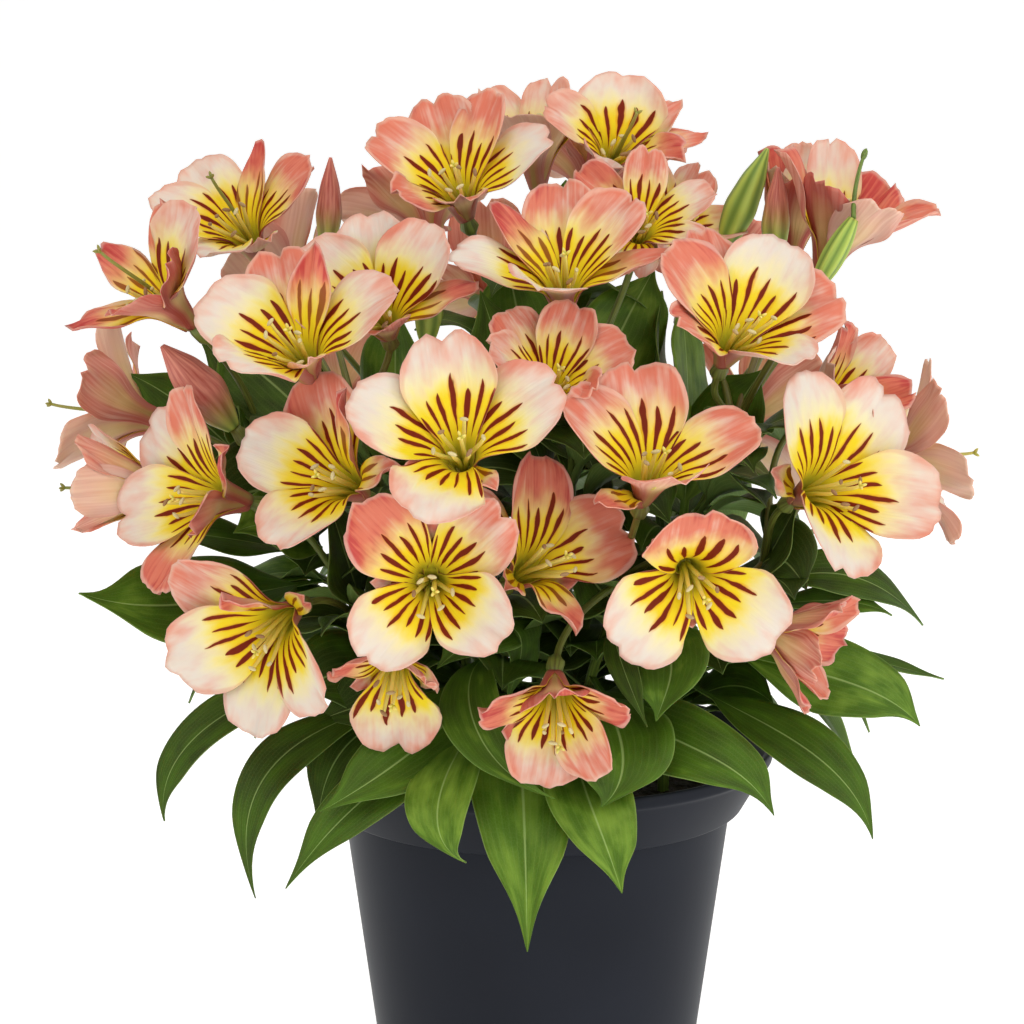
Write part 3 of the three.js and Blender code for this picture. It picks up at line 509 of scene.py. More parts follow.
# %% Satin leaf
leaf_skin, tree, shader = new_finish(
    "satin green leaf", 0.48, specular_ior_level=0.18, subsurface_weight=0.06, subsurface_scale=2 * MM
)
kept = kept_numbers(tree, "across", "along", "back", "tone", "seed")
spread_out = node(tree, "Math MULTIPLY", kept["across"], kept["across"])
cloud_place = stretched(tree, kept, across=1.2, along=3.0, seed=30.0)
cloud = node(tree, "TexNoise", sockets={"Vector": cloud_place, "Scale": 1.8, "Detail": 3.0})
wander = node(tree, "MapRange", cloud, 0.3, 0.7, -1.2, 1.2)
vein_wave = node(tree, "Math SINE", node(tree, "Math MULTIPLY_ADD", kept["across"], 44.0, wander))
vein = node(tree, "MapRange SMOOTHSTEP", vein_wave, 0.5, 1.0, 0.0, 1.0)
net_place = stretched(tree, kept, across=9.0, along=32.0)
net = node(tree, "TexVoronoi", net_place, voronoi_dimensions="2D", feature="DISTANCE_TO_EDGE")
net.inputs["Scale"].default_value = 2.4
cell = node(tree, "MapRange", net.outputs["Distance"], 0.0, 0.18, 1.0, 0.0)
deep = node(tree, "MapRange", cloud, 0.3, 0.7, -0.25, 0.25)
deep = node(tree, "Math ADD", kept["tone"], deep)
# at low tone the green turns a dark olive, which is painted shade for the leaves deep in the plant
face = painted(
    tree, "#2E400C",
    (deep, 0.0, 0.55, 1.0, "#466712", "LINEAR"),
    (deep, 0.55, 1.15, 1.0, "#8CAE3E", "LINEAR"),
    (vein, 0.0, 1.0, 0.04, "#A5BD70", "LINEAR"),
    (cell, 0.0, 1.0, 0.06, "#9DB965", "LINEAR"),
)
midrib = node(tree, "MapRange SMOOTHSTEP", spread_out, 0.0012, 0.0, 0.0, 0.5)
face = node(tree, "MixRGB", midrib, face, "#A9C274")
face = painted(tree, face, (spread_out, 0.93, 1.0, 0.4, "#9DB965"))
under = painted(tree, "#6C8844", (vein, 0.0, 1.0, 0.3, "#90A868", "LINEAR"))
height = node(tree, "Math MULTIPLY_ADD", vein, -0.14, node(tree, "Math MULTIPLY", midrib, -1.5))
height = node(tree, "Math MULTIPLY_ADD", cell, -0.1, height)
height = node(tree, "Math MULTIPLY_ADD", cloud, 1.5, height)
dress(tree, shader, node(tree, "MixRGB", kept["back"], face, under), height, 0.4, 0.5)
print(leaf_skin.name, "has", len(tree.nodes), "nodes")

# %% [markdown]
# Pot and compost
#
# The pot is injection-moulded polypropylene, dark grey with a breath of blue. The mould gives it an even
# satin skin with a grain of about 1 mm, which draws highlights out into soft bands. The compost is damp
# peat and bark: crumbs of 3 mm and fibres of 1.4 mm, nearly black, and without gloss.

# %% Moulded polypropylene and damp peat; their scales count the grains in a metre
pot_skin, tree, shader = new_finish("moulded polypropylene", 0.4, ior=1.49, specular_ior_level=0.05)
where = node(tree, "TexCoord").outputs["Object"]
grain = node(tree, "TexNoise", sockets={"Vector": where, "Scale": 900.0, "Detail": 2.0})
flow = node(tree, "TexNoise", sockets={"Vector": where, "Scale": 9.0, "Detail": 2.0})
gloss = node(tree, "MapRange", flow, 0.3, 0.7, 0.38, 0.46)
tree.links.new(gloss.outputs[0], shader.inputs["Roughness"])
dress(tree, shader, painted(tree, "#202228", (flow, 0.3, 0.7, 1.0, "#282B33", "LINEAR")), grain, 0.12, 0.1)

soil_skin, tree, shader = new_finish("damp peat compost", 0.92)
where = node(tree, "TexCoord").outputs["Object"]
crumb = node(tree, "TexVoronoi", sockets={"Vector": where, "Scale": 320.0})
fibre = node(tree, "TexNoise", sockets={"Vector": where, "Scale": 700.0, "Detail": 5.0})
colour = node(tree, "MixRGB", crumb.outputs["Color"], "#1B120C", "#3A281B")
colour = painted(tree, colour, (fibre, 0.58, 0.7, 0.6, "#5B4630", "LINEAR"))
dress(tree, shader, colour, node(tree, "Math ADD", crumb, fibre), 0.9, 1.5)
print("materials so far:", len(bpy.data.materials))

# %% [markdown]
# The pot
#
# A pot like this is one moulding of even wall: a slow taper, a step out to a flared collar, and a rolled
# lip. It is turned from one profile whose corners are eased, because no moulding has a knife edge, and an
# eased corner catches the thin line of light that shows where the collar starts.

# %% Sizes of the pot and the compost in millimetres
POT_HEIGHT = 150
POT_SIDES = 144
BASE_RADIUS = 52.5
WAIST_RADIUS = 70
RIM_FOOT = 128
RIM_FOOT_RADIUS = 74
RIM_TOP_RADIUS = 85
WALL = 2
FLOOR = 2.5
LIP = 2.2
LIP_DEPTH = 4
LIP_STEP = 1.2
MOUTH_RADIUS = RIM_TOP_RADIUS - LIP - LIP_STEP
DRAIN_HOLES = 6
DRAIN_RADIUS = 4.5
DRAIN_CIRCLE = 36
DRILL_SIDES = 24
SOIL_TOP = 134
SOIL_MOUND = 3
GAP = 0.3
print("the pot is", POT_HEIGHT, "mm high and", 2 * RIM_TOP_RADIUS, "mm across its rim")


# %% Turn the pot
def eased(corners, steps=5):
    """Swaps each corner [radius, height, ease] for a short arc that starts and ends ease away from it."""
    knots = [np.array([r, 0, z], float) for r, z, _ in corners]
    line = [knots[0]]
    for before, corner, after, (_, _, ease) in zip(knots, knots[1:], knots[2:], corners[1:-1]):
        into = corner + unit(before - corner) * min(ease, np.linalg.norm(before - corner) / 2)
        out = corner + unit(after - corner) * min(ease, np.linalg.norm(after - corner) / 2)
        line += list(bezier([into, corner, out], np.linspace(0, 1, steps)))
    return [(p[0], p[2]) for p in [*line, knots[-1]]]


profile = eased([
    (0, 0, 0),
    (BASE_RADIUS, 0, 1.6),
    (WAIST_RADIUS, RIM_FOOT, 0.9),
    (RIM_FOOT_RADIUS, RIM_FOOT, 1.2),
    (RIM_TOP_RADIUS - LIP_STEP, POT_HEIGHT - LIP_DEPTH - 1, 1.2),
    (RIM_TOP_RADIUS, POT_HEIGHT - LIP_DEPTH, 0.8),
    (RIM_TOP_RADIUS, POT_HEIGHT, 1.4),
    (RIM_TOP_RADIUS - LIP, POT_HEIGHT, 1.0),
    (MOUTH_RADIUS, POT_HEIGHT - WALL, 1.5),
    (WAIST_RADIUS - WALL, RIM_FOOT - WALL, 1.5),
    (BASE_RADIUS - WALL, FLOOR, 2.5),
    (0, FLOOR, 0),
])
shell = Piece("plastic_pot", [pot_skin])
add_turned(shell, profile, POT_SIDES, 0)
pot = shell.finish("pot", "pot")
print("corners of the profile after easing:", len(profile))

# %% Cut the drain holes through the floor
drills = Piece("drills", [])
for turn in np.arange(DRAIN_HOLES) * 2 * math.pi / DRAIN_HOLES:
    middle = np.array([math.cos(turn), math.sin(turn), 0]) * DRAIN_CIRCLE
    add_stalk(drills, middle + np.outer([-2 * FLOOR, 2 * FLOOR], UP), [DRAIN_RADIUS] * 2, DRILL_SIDES, 0)
drill_mesh = bpy.data.meshes.new("drills")
drill_mesh.from_pydata((np.concatenate(drills.points) * MM).tolist(), [], drills.faces)
drill = in_scene("drills", drill_mesh)
cut = pot.modifiers.new("drain holes", "BOOLEAN")
cut.object = drill
cut.solver = "EXACT"
cut_mesh = bpy.data.meshes.new_from_object(pot.evaluated_get(bpy.context.evaluated_depsgraph_get()))
pot.modifiers.clear()
pot.data = cut_mesh
bpy.data.objects.remove(drill)
print("pot faces:", len(pot.data.polygons))

# %% [markdown]
# The compost
#
# Compost is a loose heap, so its top is a disc of rings whose heights come from two sizes of noise: lumps
# a few centimetres wide, and crumbs of two or three millimetres. The sides follow the pot's inner wall.

# %% Heap the compost
SOIL_RINGS = 46
SOIL_SIDES = 180
LUMP, LUMP_HEIGHT = 22, 1.6
CRUMB, CRUMB_HEIGHT = 2.6, 1.1


def inside_radius(height):
    neck = RIM_FOOT - WALL
    if height < neck:
        return mix(BASE_RADIUS, WAIST_RADIUS, (height - FLOOR) / (neck - FLOOR)) - WALL
    return mix(WAIST_RADIUS - WALL, MOUTH_RADIUS, (height - neck) / (POT_HEIGHT - WALL - neck))


edge = inside_radius(SOIL_TOP) - 2 * GAP
profile = [(0, FLOOR + GAP), (inside_radius(FLOOR + GAP) - 2 * GAP, FLOOR + GAP)]
profile += [(inside_radius(RIM_FOOT - WALL) - 2 * GAP, RIM_FOOT - WALL)]
profile += [(r, SOIL_TOP + SOIL_MOUND * (1 - (r / edge) ** 2)) for r in np.linspace(edge, 0, SOIL_RINGS)]
heap = Piece("damp_compost", [soil_skin])
add_turned(heap, profile, SOIL_SIDES, 0)
loose = heap.points[0]
on_top = loose[:, 2] > SOIL_TOP - 0.01
loose[on_top, 2] += [
    noise.noise(Vector(p / LUMP)) * LUMP_HEIGHT + noise.noise(Vector(p / CRUMB)) * CRUMB_HEIGHT
    for p in loose[on_top]
]
soil = heap.finish("soil", "soil")
print("compost faces:", len(soil.data.polygons))

# %% [markdown]
# Stems and flower stalks
#
# Each stem rises straight through the compost and leans out in one curve to its umbel, where the flower
# stalks part. A stalk ends in the ovary, a small ribbed green knob right under the flower. One sweep along
# a Bezier curve makes each of them, with the radius changing on the way.

# %% Sizes of the stems and where they stand
STEM_RADIUS = 2.1
STEM_FOOT = 96
STEM_STRAIGHT_TO = 142
STEM_SHOULDER = 0.55
STEM_LEAN = 0.3
STEM_STEPS = 26
STEM_SIDES = 14
STEM_RIBS = 7
STEM_RIB_HEIGHT = 0.03
UMBEL_RADIUS = 1.5

STEMS = {
    "front_centre": {"foot": (-8, -30), "umbel": (-22, -72, 222)},
    "front_right": {"foot": (15, -28), "umbel": (28, -66, 222)},
    "front_left": {"foot": (-30, -18), "umbel": (-60, -50, 205)},
    "left": {"foot": (-45, 5), "umbel": (-92, 1, 240)},
    "upper_left": {"foot": (-22, 0), "umbel": (-62, -40, 268)},
    "top": {"foot": (0, 10), "umbel": (0, 6, 305)},
    "upper_middle": {"foot": (10, -6), "umbel": (12, -42, 272)},
    "upper_right": {"foot": (32, -2), "umbel": (68, -22, 265)},
    "right": {"foot": (45, -15), "umbel": (78, -35, 222)},
    "back_left": {"foot": (-20, 30), "umbel": (-48, 52, 250)},
    "back_middle": {"foot": (5, 38), "umbel": (5, 62, 262)},
    "back_right": {"foot": (30, 28), "umbel": (58, 50, 248)},
}
print("stems:", len(STEMS))


# %% One stem
def stem_knots(stem):
    foot = np.array([*stem["foot"], STEM_STRAIGHT_TO], float)
    top = np.array(stem["umbel"], float)
    rise = top[2] - foot[2]
    lean = (top - foot) * [1, 1, 0]
    return [foot, foot + UP * STEM_SHOULDER * rise, top - STEM_LEAN * (lean + UP * rise), top]


def add_stem(piece, stem, seed):
    foot = np.array([*stem["foot"], STEM_FOOT], float)
    path = np.concatenate([[foot], bezier(stem_knots(stem), np.linspace(0, 1, STEM_STEPS))])
    radii = np.linspace(STEM_RADIUS, UMBEL_RADIUS, len(path))
    add_stalk(piece, path, radii, STEM_SIDES, 0, ribs=STEM_RIBS, rib_height=STEM_RIB_HEIGHT, seed=seed)


print("the first stem's knots:", stem_knots(STEMS["front_centre"])[0], "to", STEMS["front_centre"]["umbel"])

# %% One flower stalk, which swells at its end to the ribbed ovary
PEDICEL_RADIUS = 1.2
PEDICEL_RISE = 0.35
PEDICEL_LEAVES = 0.4
PEDICEL_ARRIVES = 0.42
PEDICEL_THIN_BY = 0.4
PEDICEL_STEPS = 34
PEDICEL_SIDES = 18
OVARY_LENGTH = 9
OVARY_MOST = 0.4
OVARY_WIDEST = 0.45
OVARY_RADIUS = 3.1
OVARY_RIBS = 6
OVARY_RIB_HEIGHT = 0.09
NECK_RADIUS = 2
TURNED_BRONZE = 0.7


def add_pedicel(piece, stem, base, axis, seed):
    start = np.array(stem["umbel"], float)
    end = base - axis * GAP
    reach = np.linalg.norm(end - start)
    out = unit(unit(end - start) + UP * PEDICEL_RISE)
    knots = [start, start + out * PEDICEL_LEAVES * reach, end - axis * PEDICEL_ARRIVES * reach, end]
    path = bezier(knots, np.linspace(0, 1, PEDICEL_STEPS))
    run = np.concatenate([[0], np.cumsum(np.linalg.norm(np.diff(path, axis=0), axis=1))])
    ovary = min(OVARY_MOST, OVARY_LENGTH / run[-1])
    share = (run / run[-1] - (1 - ovary)) / ovary
    swell = smooth(0, OVARY_WIDEST, share)
    radii = mix(UMBEL_RADIUS, PEDICEL_RADIUS, smooth(0, PEDICEL_THIN_BY, run / run[-1]))
    radii = mix(radii, OVARY_RADIUS, swell)
    radii = mix(radii, NECK_RADIUS, smooth(OVARY_WIDEST, 1, share))
    add_stalk(
        piece, path, radii, PEDICEL_SIDES, 0, ribs=OVARY_RIBS, rib_height=OVARY_RIB_HEIGHT * swell,
        seed=seed, tone=chance(seed) * TURNED_BRONZE,
    )


print("an ovary is", 2 * OVARY_RADIUS, "mm across and", OVARY_LENGTH, "mm long")

# %% [markdown]
# Flowers
#
# A flower has six petals in two rings of three. They stand close together in a narrow throat and then
# part and spread. Each petal is one grid of points: along it the middle line bends outwards, and across it
# the width grows to near the tip. The throat wraps round the axis, the face is cupped, and the rim waves.

# %% The petal's middle line and its half width; places along it are shares of its length
LINE_STEPS = 48
LONGEST = 1.08
FOOT_RADIUS = 2.1
CLAW_ANGLE = 17
OUTER_ANGLE = 66
INNER_ANGLE = 57
SPREAD_FROM = 0.12
SPREAD_TO = 0.55
TIP_CURL = 12
TIP_CURL_FROM = 0.62
CURL_BACK = 24
HALF_WIDTH = 0.285
CLAW_WIDTH = 0.36
WIDENS_FROM = 0.17
WIDEST_AT = 0.66


def petal_line(bloom, k, bend):
    spread = (INNER_ANGLE if k % 2 else OUTER_ANGLE) * bloom["open"] * bend
    curl = TIP_CURL * bloom["open"] * bend
    s = np.linspace(0, LONGEST, LINE_STEPS + 1)
    slope = mix(CLAW_ANGLE, spread, smooth(SPREAD_FROM, SPREAD_TO, s)) + curl * smooth(TIP_CURL_FROM, 1, s)
    curl_back = CURL_BACK * (chance(bloom["seed"] * 3.1 + k) - 0.4) * smooth(0.74, 1.05, s)
    slope = np.radians(slope + curl_back)
    step = np.diff(s) * bloom["length"]
    middle = (slope[1:] + slope[:-1]) / 2
    out = FOOT_RADIUS + np.concatenate([[0], np.cumsum(np.sin(middle) * step)])
    up = np.concatenate([[0], np.cumsum(np.cos(middle) * step)])
    return s, out, up, slope


def petal_half_width(bloom, width, s):
    claw = mix(CLAW_WIDTH, 1, smooth(WIDENS_FROM, WIDEST_AT, s))
    return HALF_WIDTH * bloom["length"] * width * claw


print("an outer petal spreads to", OUTER_ANGLE, "degrees and an inner one to", INNER_ANGLE)


# %% The flower's own axes; its throat is this share of a petal's length above its foot
THROAT_AT = 0.15


def bloom_axes(bloom):
    axis = heading(*bloom["face"])
    top = unit(UP - axis * UP.dot(axis))
    right = np.cross(top, axis)
    base = np.array(bloom["throat"], float) - axis * THROAT_AT * bloom["length"]
    return base, axis, top, right


def bloom_points(bloom, out, up, angle, aside):
    base, axis, top, right = bloom_axes(bloom)
    a = math.radians(angle)
    x = out * math.cos(a) - aside * math.sin(a)
    y = out * math.sin(a) + aside * math.cos(a)
    return base + up[..., None] * axis + x[..., None] * right + y[..., None] * top


print("a flower's points are set along its axis, its right and its top")


# %% The grid, the outline and the thickness of a petal
PETAL_ROWS, PETAL_COLUMNS = 26, 21
HIDDEN_ROWS, HIDDEN_COLUMNS = 16, 11
CROWDED_TIP = 0.92
CROWDED_RIM = 0.96
# a petal is narrow under this share of the usual width, and hidden under this share of its length
NARROW = 0.65
HIDDEN = 0.75
FULLER = 1.05
ROUNDEST = 0.42
NOTCH = (-0.04, 0.07)
NOTCH_WIDTH = 0.14
FRILLS, FRILL = 8, 0.011
FINE_FRILLS, FINE_FRILL = 19, 0.007
PETAL_THICKNESS = 0.55
RIM_THICKNESS = 0.25


def petal_outline(width, long, rows, columns, r):
    """A grid of shares: t by rows, u across from rim to rim, and s along the petal's middle line."""
    t = np.linspace(0, 1, rows)[:, None] ** CROWDED_TIP
    turn = np.linspace(-1, 1, columns)[None, :] * math.pi / 2
    u = np.sin(turn * CROWDED_RIM) / math.sin(math.pi / 2 * CROWDED_RIM)
    # a broad petal ends round, with a small notch or point; a narrow one is drawn out to its tip
    broad = width > NARROW
    depth = min(ROUNDEST, HALF_WIDTH * FULLER * width) * mix(0.9, 1.15, r[0])
    fall = depth * (1 - np.cos(turn)) ** 1.1 if broad else 0.5 * np.abs(turn / (math.pi / 2)) ** 1.25
    notch = mix(*NOTCH, r[1]) * np.exp(-((u / NOTCH_WIDTH) ** 2)) if broad else 0
    frill = FRILL * np.sin(u * FRILLS + r[2] * 6) + FINE_FRILL * np.sin(u * FINE_FRILLS + r[8] * 6)
    return t, u, t * (1 - fall - notch + frill) * long


print("a broad petal has", 2 * PETAL_ROWS * PETAL_COLUMNS, "points")

# %% How the blade of a petal is cupped, grooved, waved and layered
MOUTH_AT = 0.2
MOUTH_ENDS = 0.55
INNER_CUP = 0.26
OUTER_CUP = (0.04, 0.2)
MIDRIB_GROOVE = 0.45
GROOVE_WIDTH = 0.2
WAVE = (0.9, 1.8)
VEIN_FOLD = 0.3
TWIST = 8
LAYER = 0.45
LAYER_STEP = 0.1
SET_BACK = 1.5
SET_FAR_BACK = 5
print("a cream rim waves by", WAVE[0], "mm and a salmon one by", WAVE[1], "mm")


# %% One petal: its angle, width and tone, and where they differ from one its bend and its length
def add_petal(piece, bloom, k):
    angle, width, tone, bend, long = (*bloom["petals"][k], 1, 1)[:5]
    seed = bloom["seed"] * 7.3 + k * 1.7
    r = [chance(seed + n) for n in range(9)]
    broad = width > NARROW
    hidden = long < HIDDEN
    rows, columns = (HIDDEN_ROWS, HIDDEN_COLUMNS) if hidden else (PETAL_ROWS, PETAL_COLUMNS)
    t, u, s = petal_outline(width, long, rows, columns, r)
    half = petal_half_width(bloom, width * FULLER, s / long)
    aside = u * half
    at, out_at, up_at, slope_at = petal_line(bloom, k, bend)
    out = np.interp(s, at, out_at)
    up = np.interp(s, at, up_at)
    slope = np.interp(s, at, slope_at)
    # near the foot the petal wraps round the axis; further out it is cupped
    wrap = (1 - 0.97 * smooth(MOUTH_AT, MOUTH_ENDS, s)) / out
    raise_by = (1 - np.cos(wrap * aside)) / wrap
    aside = np.sin(wrap * aside) / wrap
    cup = INNER_CUP if k % 2 else mix(*OUTER_CUP, smooth(0.5, 0.9, s))
    grown = smooth(0.28, 0.6, s)
    raise_by = raise_by + cup * half * u**2 * grown
    raise_by = raise_by - MIDRIB_GROOVE * np.exp(-((u / GROOVE_WIDTH) ** 2)) * grown
    # the rim waves, and the pinker petals are more folded along their veins
    rim = np.clip(np.abs(u) ** 5 * smooth(0.3, 0.6, s) + t**9, 0, 1)
    wavy = np.clip(np.abs(u) ** 3 * smooth(0.3, 0.7, s) + t**5, 0, 1)
    wave = np.sin(3.2 * np.arctan2(u, 1.15 - t) + r[3] * 6.3) + 0.5 * np.sin(9 * s + 5 * u + r[4] * 6.3)
    raise_by = raise_by + mix(*WAVE, tone) * wave * wavy
    raise_by = raise_by + VEIN_FOLD * tone * np.sin(u * FRILLS + r[5] * 6.3) * grown * (1 - wavy)
    raise_by = raise_by + aside * math.tan(math.radians(mix(-TWIST, TWIST, r[6]))) * grown
    # the petals lie over one another as they are listed, the inner ring on the outer, a narrow one behind
    layer = (LAYER if k % 2 else -LAYER) - LAYER_STEP * k
    behind = 0 if broad else SET_FAR_BACK * smooth(0.1, 0.32, s) if hidden else SET_BACK * grown
    raise_by = raise_by + layer * (1 - smooth(0.5, 0.8, s)) - behind
    grid = bloom_points(
        bloom, out - raise_by * np.cos(slope), up + raise_by * np.sin(slope),
        angle + bloom["roll"] + mix(-2, 2, r[7]), aside,
    )
    thickness = mix(PETAL_THICKNESS, RIM_THICKNESS, rim)
    across = np.broadcast_to(u * min(1, width), s.shape)
    add_sheet(
        piece, grid, thickness, 0, across=across, along=s / long, rim=rim, tone=tone,
        marks=1.0 if broad else 0.8, seed=round(chance(seed * 1.9) * SEED_STEPS) / SEED_STEPS,
    )


print("a hidden petal has", 2 * HIDDEN_ROWS * HIDDEN_COLUMNS, "points")


# %% Stamens, style and the floor of the throat; reach, lean and sag are shares of the petal's length
STAMENS = 6
STAMEN_RADIUS = 0.95
STAMEN_SIDES = 6
STAMEN_STEPS = 12
STAMEN_REACH = (0.42, 0.58)
CLOSED_REACH = 1.25
STAMEN_LEAN = (0.07, 0.19)
STYLE_LEAN = 0.04
THREAD_SAG = 0.1
THROAT_FLOOR = 0.02
ANTHER = (1.6, 0.7)
LOBES = 3
LOBE = (1.4, 0.55)


def add_knob(piece, middle, axis, length, radius, finish, seed, tone=0):
    """A small pointed egg: an anther or a lobe."""
    s = np.linspace(0, 1, 7)
    path = middle + np.outer((s - 0.5) * 2 * length, axis)
    radii = radius * np.sqrt(np.clip(1 - (2 * s - 1) ** 2, 0.02, 1))
    add_stalk(piece, path, radii, 8, finish, seed=seed, tone=tone)


def add_heart(piece, bloom):
    base, axis, top, right = bloom_axes(bloom)
    length = bloom["length"]
    seed = bloom["seed"]
    low = base + axis * THROAT_FLOOR * length
    add_knob(piece, base + axis * 1.1, axis, 1.6, FOOT_RADIUS + 0.3, 1, seed)
    for i in range(STAMENS + 1):
        r = [chance(seed * 5.7 + i * 3.3 + n) for n in range(4)]
        turn = 2 * math.pi * (i + 0.4 * r[0]) / STAMENS
        away = right * math.cos(turn) + top * math.sin(turn)
        style = i == STAMENS
        reach = mix(*STAMEN_REACH, r[1]) * mix(CLOSED_REACH, 1, bloom["open"])
        reach = length * (bloom["style"] if style else reach)
        lean = length * bloom["open"] * (STYLE_LEAN if style else mix(*STAMEN_LEAN, r[2]))
        tip = low + axis * reach + away * lean - top * THREAD_SAG * length * bloom["open"]
        rising = low + away * 1.6 + axis * reach * 0.45
        bending = tip - away * lean * 0.1 - axis * reach * 0.2
        path = bezier([low + away * 0.9, rising, bending, tip], np.linspace(0, 1, STAMEN_STEPS))
        radii = np.linspace(STAMEN_RADIUS, 0.6 * STAMEN_RADIUS, STAMEN_STEPS)
        greener = smooth(0.65, 1, bloom["style"]) if style else 0
        add_stalk(piece, path, radii, STAMEN_SIDES, 1, seed=r[3], tone=greener)
        if style:
            for turn in 2 * math.pi * np.arange(LOBES) / LOBES:
                aim = unit(axis + 0.9 * (right * math.cos(turn) + top * math.sin(turn)))
                add_knob(piece, tip + aim * 1.1, aim, *LOBE, 1, r[3], greener)
        else:
            across = unit(np.cross(axis, away) + axis * mix(-0.6, 0.9, r[3]))
            add_knob(piece, tip + axis * 0.3, across, *ANTHER, 2, r[3])


print("threads in a flower:", STAMENS, "stamens and a style")

# %% [markdown]
# Where each flower is
#
# A petal is listed as its angle, its width and its tone. The angle runs anticlockwise from the right for
# one who looks into the flower. The tone goes from cream at nothing to salmon at one. A fourth number is
# how far the petal bends out and a fifth its length, as shares of the usual. Most flowers show three to
# five broad petals, and the narrow ones between them stay short.

# %% A flower on its stem
BLOOMS = {}


def bloom(name, stem, throat, face, length, petals, roll=0, opened=1, style=0.6):
    seed = len(BLOOMS) + 1
    BLOOMS[name] = {
        "stem": stem, "throat": throat, "face": face, "length": length, "petals": petals,
        "roll": roll, "open": opened, "style": style, "seed": seed,
    }


def six(*tones):
    return [(60 * k, 0.75 if k % 2 else 0.8, tones[k % len(tones)]) for k in range(6)]


print("a flower's six even petals:", six(0.3)[:2], "and so on")

# %% Seven in the middle and low in front
bloom("centre", "front_centre", (-25, -118, 272), (-5, 38), 47, [
    (30, 1.05, 0.15), (100, 1.1, 0.2), (163, 1, 0.05), (210, 0.4, 0.7, 1, 0.6), (257, 1.1, 0.12, 0.88),
    (310, 0.4, 0.7, 1, 0.6),
])
bloom("left_centre", "front_centre", (-61, -100, 260), (-35, 30), 44, [
    (12, 0.5, 0.75, 1, 0.8), (76, 0.4, 1.1, 0.6, 0.95), (116, 1.1, 0.72), (174, 1, 0.05),
    (150, 0.35, 1.1, 0.7, 0.6), (262, 1.1, 0.18, 0.92),
])
bloom("lower_centre", "front_centre", (-35, -120, 233), (0, 12), 42, [
    (42, 1.05, 0.5), (88, 0.5, 0.6, 1, 0.7), (133, 1.1, 0.85), (183, 0.5, 0.5, 1, 0.6), (230, 1.1, 0.03),
    (320, 1.1, 0.06),
])
# its top petal, at 80 degrees, has its own salmon deepened to rose as painted shade
bloom("lower_right_centre", "front_centre", (-5, -100, 232), (38, 34), 44, [
    (8, 1.15, 0.74), (80, 1.1, 0.95), (138, 0.7, 0.5), (205, 0.5, 0.8, 1, 0.6),
    (272, 0.6, 0.85, 1, 0.85), (325, 0.4, 0.85, 1, 0.5),
])
bloom("right_low", "front_right", (48, -105, 234), (8, -5), 44, [
    (40, 0.45, 0.7, 1, 0.6), (90, 1.45, 0.85, 0.85, 0.86), (220, 1.25, 0.03), (140, 0.45, 0.7, 1, 0.6),
    (322, 1.25, 0.06), (270, 0.4, 0.6, 1, 0.55),
])
bloom("left_low", "front_left", (-84, -90, 215), (-28, -10), 46, [
    (40, 0.4, 0.8, 1, 0.5), (92, 0.45, 1, 0.35, 1), (143, 1, 0.5), (200, 1.1, 0.08), (262, 1.05, 0.05),
    (322, 0.95, 0.05),
])
bloom("left_middle", "front_left", (-104, -62, 250), (-55, 15), 47, [
    (30, 0.6, 1.05, 0.8), (100, 0.85, 0.65), (148, 1.05, 0.15), (208, 1.05, 0.15), (268, 0.8, 0.85),
    (335, 0.6, 1.05, 0.8),
])
print("flowers so far:", len(BLOOMS))

# %% Four at the upper left
bloom("left_top_side", "left", (-122, -46, 311), (-54, 42), 46, [
    (12, 0.7, 1.1, 0.7, 0.8), (62, 1.5, 0.4, 1, 0.95), (118, 0.6, 0.9, 0.9),
    (168, 0.6, 0.95, 1.15, 1.05), (212, 0.6, 1.05, 1.2, 1.05), (285, 0.9, 1, 0.7, 0.7),
], opened=0.9, style=0.95)
bloom("left_upper", "upper_left", (-101, -2, 331), (-30, 50), 42, [
    (45, 1, 0.8), (95, 0.6, 1.1), (142, 0.95, 0.12), (195, 0.9, 0.1, 0.8), (265, 0.95, 0.1, 0.95, 0.75),
    (330, 0.6, 0.5, 0.9, 0.7),
], style=0.95)
bloom("upper_left_centre", "upper_left", (-51, -66, 309), (-8, 36), 43, [
    (12, 0.55, 0.85), (58, 1, 0.2), (102, 1.05, 0.12), (150, 1.05, 0.1), (200, 0.75, 0.6, 0.75),
    (285, 0.75, 0.8, 0.45, 0.6),
])
bloom("upper_left_front", "upper_left", (-76, -92, 299), (-20, 48), 46, [
    (30, 1.05, 0.3), (82, 0.55, 1, 0.7), (116, 0.95, 0.7), (168, 1.15, 0.05), (248, 1.05, 0.05, 0.62),
    (310, 0.5, 0.5, 0.7, 0.8),
])
print("flowers so far:", len(BLOOMS))

# %% Five from the top down to the middle
bloom("top_left", "top", (-26, -19, 346), (-15, 50), 45, [
    (24, 1.1, 0.06), (78, 0.75, 0.75), (116, 0.95, 0.7), (160, 0.8, 0.55), (225, 0.7, 0.8, 0.75, 0.8),
    (292, 0.7, 0.6, 0.8, 0.6),
])
bloom(
    "top_middle", "top", (0, 33, 353), (-16, 80), 42, six(0.25, 0.35, 0.3, 0.4, 0.15, 0.2), roll=30,
    opened=0.6,
)
bloom("top_right", "top", (26, 3, 359), (15, 42), 39, [
    (4, 0.62, 0.8, 1.15, 1.05), (80, 1.45, 0.12, 0.95, 0.9), (32, 0.6, 0.55, 1.1), (158, 0.75, 0.35),
    (235, 0.8, 0.25, 0.6), (310, 0.75, 0.9, 0.7),
], style=0.9)
bloom("upper_middle", "upper_middle", (8, -68, 319), (-5, 55), 46, [
    (6, 0.6, 0.8), (48, 0.95, 0.62), (92, 1, 0.68), (138, 0.65, 1.1), (182, 0.85, 0.06),
    (258, 0.95, 0.05, 0.8),
])
